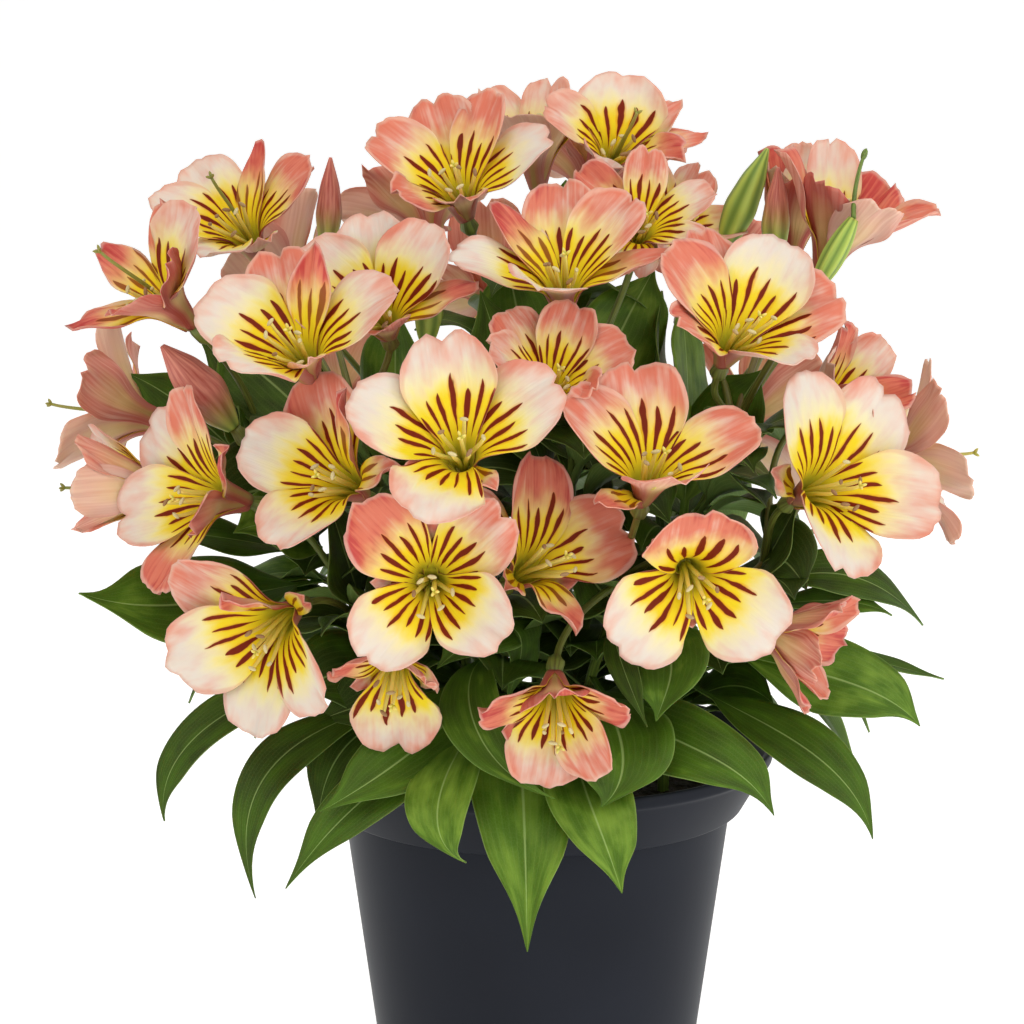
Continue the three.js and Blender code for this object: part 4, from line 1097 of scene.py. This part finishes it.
bloom("middle", "upper_middle", (3, -90, 289), (8, 46), 36, [
    (18, 1.15, 0.7), (70, 0.9, 0.7), (120, 0.9, 0.6), (172, 0.85, 0.45, 0.7), (235, 0.7, 0.85, 0.6),
    (300, 0.75, 0.8, 0.6),
])
print("flowers so far:", len(BLOOMS))

# %% Seven on the right
bloom("right_upper", "upper_right", (63, -75, 302), (22, 45), 47, [
    (8, 1, 0.68), (52, 1.1, 0.04), (100, 0.9, 0.68), (136, 1, 0.75), (190, 0.75, 0.8, 0.8, 0.9),
    (282, 0.95, 0.03, 0.78),
])
bloom("middle_right", "front_right", (34, -112, 262), (12, 48), 47, [
    (14, 0.9, 0.7), (55, 0.5, 0.9, 1, 0.6), (90, 1.1, 0.62), (146, 1.05, 0.62), (215, 0.5, 0.85, 1, 0.7),
    (272, 1, 0.55, 0.55, 0.9),
])
bloom("right_big", "right", (90, -70, 253), (35, 25), 51, [
    (45, 1.1, 0.08), (110, 1.05, 0.08), (165, 0.4, 0.6, 1, 0.6), (246, 1.15, 0.05),
    (290, 0.4, 0.6, 1, 0.6), (332, 1.05, 0.22),
])
bloom("right_behind", "right", (122, -15, 256), (95, 10), 44, six(0.45, 0.2), roll=15, style=0.85)
bloom("right_shoulder", "right", (96, -34, 275), (52, 32), 39, six(0.3, 1.0), roll=35, opened=0.55)
bloom("trumpet_back", "upper_right", (92, 22, 329), (20, 72), 40, six(1.1, 0.3), roll=10, opened=0.35)
bloom("trumpet_front", "upper_right", (101, -12, 326), (38, 66), 48, [
    (5, 0.8, 1.1, 1.4, 0.86), (65, 0.75, 0.2), (125, 0.8, 0.9), (185, 0.75, 1.1), (240, 0.8, 0.3),
    (305, 0.75, 0.85, 1.5),
], roll=10, opened=0.52)
print("flowers so far:", len(BLOOMS))

# %% Seven that stand behind, at the sides or low
bloom(
    "upper_behind", "upper_middle", (34, -34, 336), (5, 42), 34, six(0.3, 0.6, 0.9, 0.4, 0.3, 0.4),
    roll=20,
)
bloom("upper_right_behind", "top", (44, 4, 332), (38, 38), 34, six(0.5), roll=45)
bloom("left_side_upper", "left", (-137, 5, 267), (-100, 14), 47, six(0.72, 0.15), roll=30, style=0.92)
bloom("left_side_lower", "left", (-130, -38, 250), (-92, 2), 38, six(0.2, 0.7), opened=0.5, style=1)
bloom("low_left_small", "front_left", (-47, -105, 204), (-10, -35), 36, [
    (35, 0.7, 0.75, 0.7, 0.8), (88, 0.6, 0.6, 0.7, 0.6), (150, 0.75, 0.9, 0.8, 0.8),
    (205, 0.45, 0.6, 1, 0.6), (270, 1.5, 0.32), (335, 0.45, 0.6, 1, 0.6),
])
bloom("nodding", "front_right", (5, -112, 196), (0, -31), 39, [
    (18, 0.85, 0.9, 1.1, 0.88), (90, 0.95, 1.05, 0.8, 0.85), (165, 0.9, 1, 1.1, 0.9),
    (215, 0.6, 0.8, 1, 0.7), (258, 1.15, 0.4, 1, 0.95), (312, 0.85, 0.6, 0.9, 0.95),
], opened=0.78, style=0.75)
bloom("right_low_behind", "right", (76, -76, 208), (70, -18), 36, six(0.95, 0.8), opened=0.6)
print("flowers so far:", len(BLOOMS))

# %% Eight at the back, all of them guesses
bloom("back_left_low", "back_left", (-75, 88, 258), (-142, 18), 48, [
    (38, 1.05, 0.1), (88, 0.5, 0.7, 1, 0.7), (135, 1.1, 0.6), (183, 0.5, 0.6, 1, 0.7), (235, 1.1, 0.1),
    (320, 1.05, 0.15),
])
bloom("back_left_side", "back_left", (-88, 48, 304), (-118, 40), 47, [
    (28, 1.05, 0.2), (100, 1.05, 0.3), (162, 1, 0.1), (210, 0.4, 0.7, 1, 0.6), (257, 1.05, 0.1),
    (310, 0.4, 0.7, 1, 0.6),
])
bloom("back_left_high", "back_left", (-40, 60, 328), (-160, 52), 44, [
    (40, 0.6, 0.8), (95, 0.6, 0.8), (150, 0.95, 0.6), (198, 1.05, 0.2), (262, 1.05, 0.1),
    (325, 0.95, 0.3),
])
bloom("back_middle_low", "back_middle", (4, 114, 250), (178, 8), 49, [
    (28, 1.05, 0.1), (100, 1.05, 0.5), (162, 1, 0.15), (210, 0.4, 0.7, 1, 0.6), (257, 1.05, 0.1),
    (310, 0.4, 0.7, 1, 0.6),
])
bloom("back_middle_high", "back_middle", (20, 58, 342), (165, 58), 46, [
    (38, 1.05, 0.7), (88, 0.6, 0.8), (135, 1.05, 0.75), (183, 0.6, 0.7), (235, 1.05, 0.2),
    (320, 1.05, 0.3),
])
bloom("back_middle", "back_middle", (-16, 102, 298), (-172, 35), 47, [
    (85, 1.1, 0.7), (150, 0.5, 0.8, 1, 0.7), (222, 1.1, 0.15), (272, 0.45, 0.7, 1, 0.6), (325, 1.1, 0.1),
    (20, 0.5, 0.8, 1, 0.7),
])
bloom("back_right_low", "back_right", (78, 86, 252), (140, 15), 48, [
    (40, 0.6, 0.8), (95, 0.6, 0.8), (150, 0.95, 0.7), (198, 1.05, 0.15), (262, 1.05, 0.1),
    (325, 0.95, 0.2),
])
bloom("back_right_side", "back_right", (60, 84, 302), (145, 42), 47, [
    (38, 1.05, 0.3), (88, 0.5, 0.7, 1, 0.7), (135, 1.05, 0.75), (183, 0.5, 0.7, 1, 0.7), (235, 1.1, 0.1),
    (320, 1.05, 0.1),
])
print("flowers so far:", len(BLOOMS))

# %% Make every flower
for name, flower in BLOOMS.items():
    piece = Piece("flower_" + name, [petal, thread, anther])
    for k in range(len(flower["petals"])):
        add_petal(piece, flower, k)
    add_heart(piece, flower)
    piece.finish("tepals", "bloom_" + name)
print("flowers:", len(BLOOMS))

# %% [markdown]
# Buds
#
# Some flowers haven't opened yet. A bud is six petals wrapped to a point, so it is a stalk with a bud's
# swelling and six low ribs. The ribs turn a little round the bud, as the petals overlap one way.

# %% Where each bud is
BUD_PARTS = ("stem", "base", "face", "size", "green")
BUDS = {
    "upper_right_green": ("upper_right", (65, 4, 327), (70, 66), (40, 6), 1.1),
    "upper_right_pink": ("upper_right", (83, -3, 322), (5, 80), (36, 5.2), 0.4),
    "upper_left_brown": ("upper_left", (-74, 0, 326), (20, 82), (35, 4.8), 0.25),
    "upper_left_inner": ("upper_left", (-38, -52, 300), (30, 80), (26, 5), 0.8),
    "left_red": ("left", (-105, -34, 270), (-72, 50), (38, 8.2), 0.1),
    "middle_small": ("upper_middle", (26, -70, 276), (5, 55), (20, 4), 0.9),
    "right_low": ("right", (84, -62, 200), (20, -30), (18, 4.5), 0.5),
    "back_right": ("back_right", (88, 42, 292), (110, 50), (28, 5), 0.6),
}
BUDS = {name: dict(zip(BUD_PARTS, row)) for name, row in BUDS.items()}
print("buds:", len(BUDS))

# %% The form of a bud
BUD_PROFILE = [(0, 0.34), (0.16, 0.72), (0.42, 1), (0.72, 0.72), (1, 0.12)]
BUD_ROWS = 34
BUD_SIDES = 48
BUD_TWIST = 0.5
BUD_LAPS = 3
BUD_LAP = 0.12
BUD_RIBS = 6
BUD_RIB_HEIGHT = 0.03


def add_bud(piece, bud, seed):
    length, radius = bud["size"]
    shares, swelling = np.array(BUD_PROFILE).T
    s = np.linspace(0, 1, BUD_ROWS)
    axis = heading(*bud["face"])
    # the swelling is eased between its five sizes
    widths = np.interp(s, shares, swelling)
    for _ in range(3):
        widths[1:-1] = (widths[:-2] + 2 * widths[1:-1] + widths[2:]) / 4
    path = np.array(bud["base"], float) + np.outer(s * length, axis)
    side = unit(np.cross(axis, [0.3, 0.5, 0.1]))
    over = np.cross(axis, side)
    turn = full_turn(BUD_SIDES)[None, :]
    phase = (BUD_LAPS * (turn + BUD_TWIST * s[:, None] * 2) / (2 * np.pi)) % 1
    lap = BUD_LAP * (1 - phase) * smooth(0, 0.1, phase) * smooth(0.05, 0.3, s[:, None])
    rings = radius * widths[:, None] * (0.94 + lap + BUD_RIB_HEIGHT * np.cos(BUD_RIBS * turn))
    outward = side * np.cos(turn)[..., None] + over * np.sin(turn)[..., None]
    points = path[:, None] + rings[..., None] * outward
    index, _, walls = ring_walls(BUD_ROWS, BUD_SIDES)
    ones = np.ones_like(phase)
    piece.add(
        points, [walls, [index[0, ::-1]], [index[-1]]], 0,
        across=ones * (turn / np.pi - 1), along=ones * s[:, None],
        rim=np.cos(BUD_RIBS * turn) * ones * 0.5 + 0.5, tone=bud["green"], seed=seed,
    )


for number, (name, bud) in enumerate(BUDS.items()):
    piece = Piece("closed_bud_" + name, [bud_skin])
    add_bud(piece, bud, number + 0.5)
    piece.finish("buds", "bud_" + name)
print("points round a bud:", BUD_SIDES)

# %% [markdown]
# Leaves
#
# A leaf leaves its stem by a narrow stalk, arches over and hangs by its own weight. It is folded up a
# little along its middle, its rim waves once or twice, and its tip is drawn out. One Bezier curve is its
# middle line, and the blade is a sheet across it.

# %% Sizes of the leaves
LEAF_FOLD = 0.22
PETIOLE_HALF = 1.6
PETIOLE_TO = 0.16
LEAF_BELLY = 0.8
LEAF_FULLNESS = 0.78
LEAF_BROADER = 1.1
LEAF_DRAWN_OUT = 0.55
LEAF_RIPPLE = 0.12
LEAF_SAG = 0.07
LEAF_THICKNESS = 0.7
TIP_HALF = 0.15

LEAVES = []
print("a leaf folds up by", LEAF_FOLD, "of its half width")


# %% The leaves that hang over the pot, one by one
def leaf(stem, at, *line, **shape):
    """A leaf on a stem, at a share of its height. The line's last point is the tip."""
    LEAVES.append({"stem": stem, "at": at, "line": line, **shape})


# each leaf's tone is partly its own and partly painted light and shade: darker on the left, lighter low in
# the middle front
leaf("left", 0.62, (-104, -25, 211), (-128, -45, 203), (-156, -60, 217), width=33, roll=-50)
leaf("left", 0.72, (-138, -42, 236), width=18, roll=-30, arch=12)
leaf("front_left", 0.66, (-102, -58, 186), (-131, -74, 168), (-127, -75, 141), width=15, roll=-35, tone=0.2)
leaf("front_left", 0.4, (-71, -70, 176), (-109, -92, 169), (-95, -92, 119), width=15, roll=-35, tone=0.15)
leaf("front_left", 0.2, (-54, -50, 177), (-74, -68, 168), (-75, -72, 138), width=20, roll=-30, tone=0)
leaf("front_centre", 0.22, (-33, -88, 173), (-62, -112, 162), (-84, -104, 126), width=20, roll=-30, tone=0.3)
leaf("front_centre", 0.46, (-23, -80, 183), (-45, -108, 168), (-72, -110, 154), width=26, roll=-42, tone=0.45)
leaf("front_centre", 0.34, (-26, -105, 180), (-45, -126, 152), (-24, -122, 140), width=21, roll=10, tone=0.64)
leaf("front_centre", 0.2, (-4, -122, 110), width=33, roll=0, tone=0.6, arch=22, hook=0.8)
leaf("front_centre", 0.55, (-29, -98, 205), (-28, -118, 172), (5, -116, 160), width=19, roll=15, tone=0.5)
leaf("front_centre", 0.66, (-6, -76, 212), (-20, -80, 209), (-34, -88, 197), width=20, roll=-40)
leaf("front_centre", 0.8, (-3, -62, 206), (-3, -62, 201), (-11, -66, 180), width=22, roll=10)
leaf("front_right", 0.16, (7, -104, 172), (20, -120, 154), (27, -116, 128), width=26, roll=0, tone=0.65)
leaf("front_right", 0.36, (24, -95, 187), (35, -112, 168), (20, -112, 156), width=32, roll=0, tone=0.42)
leaf("front_right", 0.42, (27, -84, 171), (65, -112, 179), (78, -97, 149), width=24, roll=45, tone=0.38)
leaf("front_right", 0.9, (50, -95, 205), (44, -104, 200), (38, -108, 184), width=24, roll=20, tone=0.45)
leaf("front_right", 0.8, (24, -98, 208), (27, -105, 201), (35, -112, 183), width=9, roll=20)
leaf("right", 0.34, (70, -50, 171), (107, -74, 166), (115, -62, 131), width=19, roll=40, tone=0.35)
leaf("right", 0.52, (84, -45, 187), (118, -50, 186), (134, -34, 164), width=27, roll=55, tone=0.6)
leaf("right", 0.66, (92, -30, 194), (120, -30, 186), (144, -20, 178), width=11, roll=20)
leaf("right", 0.8, (90, -40, 224), (116, -30, 223), (137, -14, 196), width=17, roll=45)
leaf("right", 0.74, (91, -40, 210), (109, -34, 212), (124, -30, 203), width=12, roll=30)
print("leaves so far:", len(LEAVES))

# %% Leaves that stand behind the flowers and close the view between them
leaf("left", 0.96, (-112, 10, 260), (-130, 10, 276), (-146, 8, 283), width=22, roll=-50)
leaf("left", 0.9, (-97, -10, 262), (-104, -10, 284), (-113, -8, 297), width=30, roll=-60)
leaf("left", 0.8, (-94, -15, 241), (-100, -20, 258), (-104, -24, 276), width=28, roll=-60)
leaf("left", 0.7, (-82, -30, 236), (-92, -40, 240), (-104, -50, 236), width=24, roll=-60)
leaf("upper_left", 0.8, (-85, -12, 274), (-98, -8, 290), (-122, -5, 300), width=30, roll=-50)
leaf("upper_left", 0.7, (-50, -18, 265), (-50, -20, 290), (-49, -22, 312), width=32, roll=-60)
leaf("upper_middle", 0.8, (-4, -20, 290), (-8, -14, 310), (-11, -10, 328), width=30, roll=-60)
leaf("upper_middle", 0.6, (-6, -25, 275), (-12, -24, 292), (-20, -22, 316), width=32, roll=-60)
leaf("upper_middle", 0.85, (22, -12, 290), (32, -8, 306), (41, -5, 322), width=30, roll=60)
leaf("upper_right", 0.5, (38, -10, 262), (42, -6, 290), (44, -4, 314), width=36, roll=60)
leaf("upper_right", 0.6, (54, -14, 258), (54, -8, 285), (50, 0, 314), width=34, roll=60)
leaf("upper_right", 0.75, (62, -15, 262), (70, -18, 276), (78, -20, 288), width=30, roll=60)
leaf("top", 0.75, (6, 4, 310), (8, 6, 335), (10, 8, 352), width=30, roll=60)
print("leaves so far:", len(LEAVES))

# %% Broad leaves deep in the plant, made dark with low tones as painted shade
leaf("front_left", 0.5, (-66, -52, 194), (-84, -54, 180), width=30, roll=-50, tone=0.1)
leaf("front_centre", 0.3, (-42, -56, 186), (-76, -60, 172), width=34, roll=-50, tone=0.1)
leaf("front_left", 0.92, (-64, -52, 222), (-72, -54, 250), width=30, roll=-50, tone=0.1)
leaf("right", 0.9, (80, -42, 226), (90, -46, 248), width=30, roll=50, tone=0.1)
leaf("front_right", 0.9, (22, -62, 214), (12, -62, 232), width=30, roll=-40, tone=0.1)
leaf("left", 0.75, (-88, -36, 264), (-114, -40, 238), width=36, roll=-50, tone=0)
leaf("right", 0.85, (80, -46, 238), (92, -50, 216), width=28, roll=50, tone=0)
leaf("upper_left", 0.85, (-44, -26, 270), (-20, -20, 280), width=28, roll=50, tone=0)
print("leaves so far:", len(LEAVES))

# %% Leaves in whorls, for the back and the dim inside of the plant
WHORL_PARTS = ("stem", "span", "count", "turn", "fan", "reach", "width", "drop")
WHORLS = [dict(zip(WHORL_PARTS, row)) for row in [
    ("back_left", (0.26, 0.9), 8, 215, 80, 62, 0.38, 26),
    ("back_middle", (0.18, 0.85), 8, 175, 50, 64, 0.38, 32),
    ("back_right", (0.2, 0.9), 8, 133, 75, 62, 0.38, 28),
    ("left", (0.2, 0.55), 5, 262, 60, 66, 0.35, 24),
    ("right", (0.16, 0.5), 5, 106, 60, 64, 0.36, 28),
    ("upper_left", (0.3, 0.9), 7, 314, 90, 42, 0.46, -14),
    ("top", (0.3, 0.9), 9, 196, 350, 40, 0.46, -26),
    ("upper_middle", (0.35, 0.9), 6, 22, 80, 38, 0.46, -16),
    ("upper_right", (0.3, 0.9), 7, 42, 60, 40, 0.46, -14),
    ("front_left", (0.75, 0.98), 3, -40, 80, 36, 0.42, -8),
    ("front_centre", (0.7, 0.98), 4, -22, 50, 34, 0.42, -10),
    ("front_right", (0.6, 0.98), 4, 52, 50, 34, 0.42, -10),
]]
print("leaves in whorls:", sum(whorl["count"] for whorl in WHORLS))


# %% Leaves of a whorl step up the stem and swing from side to side
def whorl_leaves(whorl, index):
    knots = stem_knots(STEMS[whorl["stem"]])
    made = []
    for i in range(whorl["count"]):
        draw = [chance(index * 31 + i * 7 + n) for n in range(7)]
        at = mix(*whorl["span"], i / (whorl["count"] - 1))
        swing = (i * 0.618) % 1 - 0.5 + 0.12 * (draw[1] - 0.5)
        reach = whorl["reach"] * mix(0.85, 1.15, draw[2])
        tip = bezier(knots, at) + heading(whorl["turn"] + whorl["fan"] * swing, 0) * reach
        tip = tip - UP * whorl["drop"] * mix(0.7, 1.3, draw[3])
        arch = mix(0.3, 0.42, draw[5]) * reach + max(0, -whorl["drop"])
        width = whorl["width"] * mix(0.88, 1.12, draw[4]) * reach
        tone = mix(*whorl.get("tones", (0, 0.6)), draw[1])
        made.append({
            "stem": whorl["stem"], "at": at, "line": (tip,), "width": width, "arch": arch,
            "roll": mix(-25, 25, draw[6]), "hook": 0.6, "tone": tone,
        })
    return made


# short young leaves all round each stem close the heart of the plant; their low tones are painted shade
TUFT = {"span": (0.1, 0.97), "count": 12, "fan": 360, "width": 0.7, "drop": -6, "tones": (-0.2, 0.25)}
INNER_STEMS = ("front_centre", "upper_left", "upper_middle", "top")
TUFTS = [
    {"stem": stem, "turn": 137.5 * i, "reach": 44 if stem in INNER_STEMS else 34, **TUFT}
    for i, stem in enumerate(STEMS)
]
# each group with the rows and columns of its leaves' grids
LEAF_GRIDS = [
    (LEAVES, 38, 15),
    ([form for index, whorl in enumerate(WHORLS) for form in whorl_leaves(whorl, index)], 28, 11),
    ([form for index, whorl in enumerate(TUFTS, len(WHORLS)) for form in whorl_leaves(whorl, index)], 18, 9),
]
print("leaves:", sum(len(leaves) for leaves, rows, columns in LEAF_GRIDS))


# %% One leaf
def add_leaf(piece, form, seed, rows, columns):
    root = bezier(stem_knots(STEMS[form["stem"]]), form["at"])
    *via, tip = np.array(form["line"], float)
    over = mix(root, tip, form.get("hook", 0.5))
    over[2] = root[2] + form.get("arch", 0)
    knots = np.array([root, *(via or [over]), tip])
    t = np.linspace(0, 1, rows)
    middle = bezier(knots, t)
    along = unit(bezier(np.diff(knots, axis=0), t))
    across = unit(np.cross(tip - root, UP))
    roll = np.radians(form["roll"] * smooth(0, 0.5, t))[:, None]
    side = across * np.cos(roll) + np.cross(along, across) * np.sin(roll)
    side = side + along * (along @ across)[:, None] * (1 - np.cos(roll))
    normal = np.cross(side, along)
    blade = np.clip((t - PETIOLE_TO) / (1 - PETIOLE_TO), 0, 1)
    half = np.sin(np.pi * blade**LEAF_BELLY) ** LEAF_FULLNESS * LEAF_BROADER * form["width"] / 2
    half = half * (1 - LEAF_DRAWN_OUT * smooth(0.76, 0.98, t))
    half = np.maximum(half, np.where(t < 0.5, PETIOLE_HALF, TIP_HALF))[:, None]
    u = np.linspace(-1, 1, columns)[None, :]
    r = [chance(seed * 2.7 + n) for n in range(4)]
    t = t[:, None]
    ripple = np.sin(2 * np.pi * (mix(1.4, 2.4, r[0]) * t + r[1]) + np.sign(u) * 1.1)
    lift = LEAF_FOLD * half * (np.sqrt(u**2 + 0.012) - 0.11) - LEAF_SAG * half * u**4
    lift = lift + LEAF_RIPPLE * half * ripple * u**2 * smooth(0.15, 0.4, t)
    grid = middle[:, None] + (u * half)[..., None] * side[:, None] + lift[..., None] * normal[:, None]
    thickness = LEAF_THICKNESS * mix(1, 0.45, np.abs(u)) * mix(1.5, 1, smooth(0.1, 0.3, t))
    # the grid's own normal points down, so the sheet is laid from right to left to turn its face up
    add_sheet(
        piece, grid[:, ::-1], thickness, 1, across=u[:, ::-1], along=t, rim=np.abs(u) ** 3,
        tone=form.get("tone", mix(0.1, 0.7, r[2])), seed=r[3],
    )


print("a listed leaf has", 2 * LEAF_GRIDS[0][1] * LEAF_GRIDS[0][2], "points")

# %% [markdown]
# The seed pod
#
# One flower at the upper right has dropped its petals and left its ovary, a swollen green pod with six
# ribs, and the style still stands on its tip. It grew on the stem, so it is drawn into the stem's piece,
# with the skin of a green bud. The stalk tool makes all of it: a fat ribbed stalk, a thin one and a knob.

# %% The pod and its style
POD_STEM = "upper_right"
POD = [(94, -46, 320), (100, -45, 330.5), (106.5, -43, 342.5)]
POD_RADIUS = 3.7
POD_STEPS = 20
POD_SIDES = 24
POD_STYLE = [POD[-1], (106, -42, 353), (110, -40, 364)]


def add_pod(piece):
    foot, tip = np.array(POD[0], float), np.array(POD[-1], float)
    add_pedicel(piece, STEMS[POD_STEM], foot, unit(tip - foot), 3)
    s = np.linspace(0, 1, POD_STEPS)
    radii = POD_RADIUS * np.sin(np.pi * mix(0.12, 0.9, s)) ** 0.7
    ribs = np.tile(np.cos(OVARY_RIBS * full_turn(POD_SIDES)) * 0.5 + 0.5, POD_STEPS)
    add_stalk(
        piece, bezier(np.array(POD, float), s), radii, POD_SIDES, 2,
        ribs=OVARY_RIBS, rib_height=0.12, seed=0.4, tone=1.05, rim=ribs,
    )
    line = bezier(np.array(POD_STYLE, float), s)
    add_stalk(piece, line, mix(0.9, 0.6, s), 8, 0, seed=0.7)
    add_knob(piece, line[-1], unit(line[-1] - line[-2]), 2.2, 1.1, 0, 0.7)


print("the pod is", round(POD[-1][2] - POD[0][2], 1), "mm tall")

# %% Make every stem with its stalks, leaves and pod
for index, (name, stem) in enumerate(STEMS.items()):
    piece = Piece("leafy_stem_" + name, [stem_skin, leaf_skin] + [bud_skin] * (name == POD_STEM))
    if name == POD_STEM:
        add_pod(piece)
    add_stem(piece, stem, index)
    for flower in [b for b in BLOOMS.values() if b["stem"] == name]:
        base, axis = bloom_axes(flower)[:2]
        add_pedicel(piece, stem, base, axis, flower["seed"])
    for bud in [b for b in BUDS.values() if b["stem"] == name]:
        add_pedicel(piece, stem, np.array(bud["base"], float), heading(*bud["face"]), bud["size"][0])
    for group, (leaves, rows, columns) in enumerate(LEAF_GRIDS):
        for number, form in enumerate(leaves):
            if form["stem"] == name:
                add_leaf(piece, form, 100 * group + number + 1, rows, columns)
    piece.finish("greenery", "stem_" + name)
print("leafy stems:", len(STEMS))

# %% [markdown]
# The floor
#
# A white light table gives the even, nearly shadowless ground of a plant catalogue. It glows a little by
# itself, so it stays white where the lamps are weak. One large square is enough.

# %% A pale floor
FLOOR_SIZE = 400
half = FLOOR_SIZE / 2
corners = [(-half, -half, 0), (half, -half, 0), (half, half, 0), (-half, half, 0)]
floor_mesh = bpy.data.meshes.new("floor")
floor_mesh.from_pydata(corners, [], [(0, 1, 2, 3)])
floor_skin, tree, shader = new_finish("white acrylic light table", 0.8, emission_strength=0.5)
shader.inputs["Emission Color"].default_value = (1, 1, 1, 1)
fleck = node(tree, "TexNoise", sockets={"Scale": 60.0, "Detail": 3.0})
colour = painted(tree, "#F4F4F2", (fleck, 0.3, 0.7, 1.0, "#F8F8F6", "LINEAR"))
tree.links.new(colour.outputs[0], shader.inputs["Base Color"])
floor_mesh.materials.append(floor_skin)
in_scene("floor", floor_mesh)
print("floor:", FLOOR_SIZE, "m wide")

# %% [markdown]
# The light
#
# Large soft lamps and bright surroundings give shadows without edges. The key lamp hangs high in front,
# a little to the left. A weak one low in front fills the shadows under the petals, a tall strip on the
# right draws the long highlight down the pot, and one high at the back lights the rims of the top petals.

# %% Soft lamps
LOOK_AT = Vector(np.array([-9, 0, 234.3]) * MM)


def aimed(made, azimuth, elevation, distance):
    """Sets a lamp or camera at a distance from the plant's middle, and turns it to look there."""
    away = Vector(heading(azimuth, elevation))
    made.location = LOOK_AT + away * distance
    made.rotation_euler = away.to_track_quat("Z", "Y").to_euler()


def soft_lamp(name, azimuth, elevation, distance, size, watts, colour="#FFFFFF"):
    lamp = bpy.data.lights.new(name, "AREA")
    lamp.shape = "RECTANGLE"
    lamp.size, lamp.size_y = size
    lamp.energy = watts
    lamp.color = light(colour)[:3]
    aimed(in_scene(name, lamp), azimuth, elevation, distance)


soft_lamp("key", -14, 52, 1.6, (1.0, 1.0), 8.0, "#FFF8F0")
soft_lamp("front", 14, 6, 1.8, (1.3, 1.3), 2.5)
soft_lamp("strip", 60, 22, 1.5, (0.35, 1.3), 5)
soft_lamp("top", 170, 65, 1.6, (1.2, 1.2), 4)
print("lamps:", len(bpy.data.lights))

# %% Bright surroundings
world = bpy.data.worlds.new("studio")
world.use_nodes = True
surround = world.node_tree.nodes["Background"]
surround.inputs["Color"].default_value = (1, 1, 1, 1)
# the horizon is as bright as the floor, and higher up the surroundings are dimmer
direction = node(world.node_tree, "TexCoord").outputs["Generated"]
height = node(world.node_tree, "SeparateXYZ", direction).outputs["Z"]
dimmer = node(world.node_tree, "MapRange", height, 0.17, 0.4, 1.02, 0.5)
world.node_tree.links.new(dimmer.outputs[0], surround.inputs["Strength"])
world.cycles.sampling_method = "NONE"
bpy.context.scene.world = world
bpy.context.scene.view_settings.view_transform = "Standard"
bpy.context.scene.cycles.max_bounces = 6
bpy.context.scene.cycles.diffuse_bounces = 3
print("surroundings:", world.name)

# %% [markdown]
# The camera
#
# The photograph looks down on the plant by ten degrees, and its upright lines stay nearly parallel, which
# is a long lens from over a metre away. The lens follows from the focal length in pixels, with the image
# taken as 1024 by 1024.

# %% A long lens from a little above
CAMERA_DISTANCE = 1.150
CAMERA_ELEVATION = 10
FOCAL_PIXELS = 3221
IMAGE_PIXELS = 1024
SENSOR = 36
camera = in_scene("camera", bpy.data.cameras.new("camera"))
camera.data.sensor_width = SENSOR
camera.data.lens = FOCAL_PIXELS / IMAGE_PIXELS * SENSOR
aimed(camera, 0, CAMERA_ELEVATION, CAMERA_DISTANCE)
bpy.context.scene.camera = camera
print("lens:", round(camera.data.lens, 1), "mm")
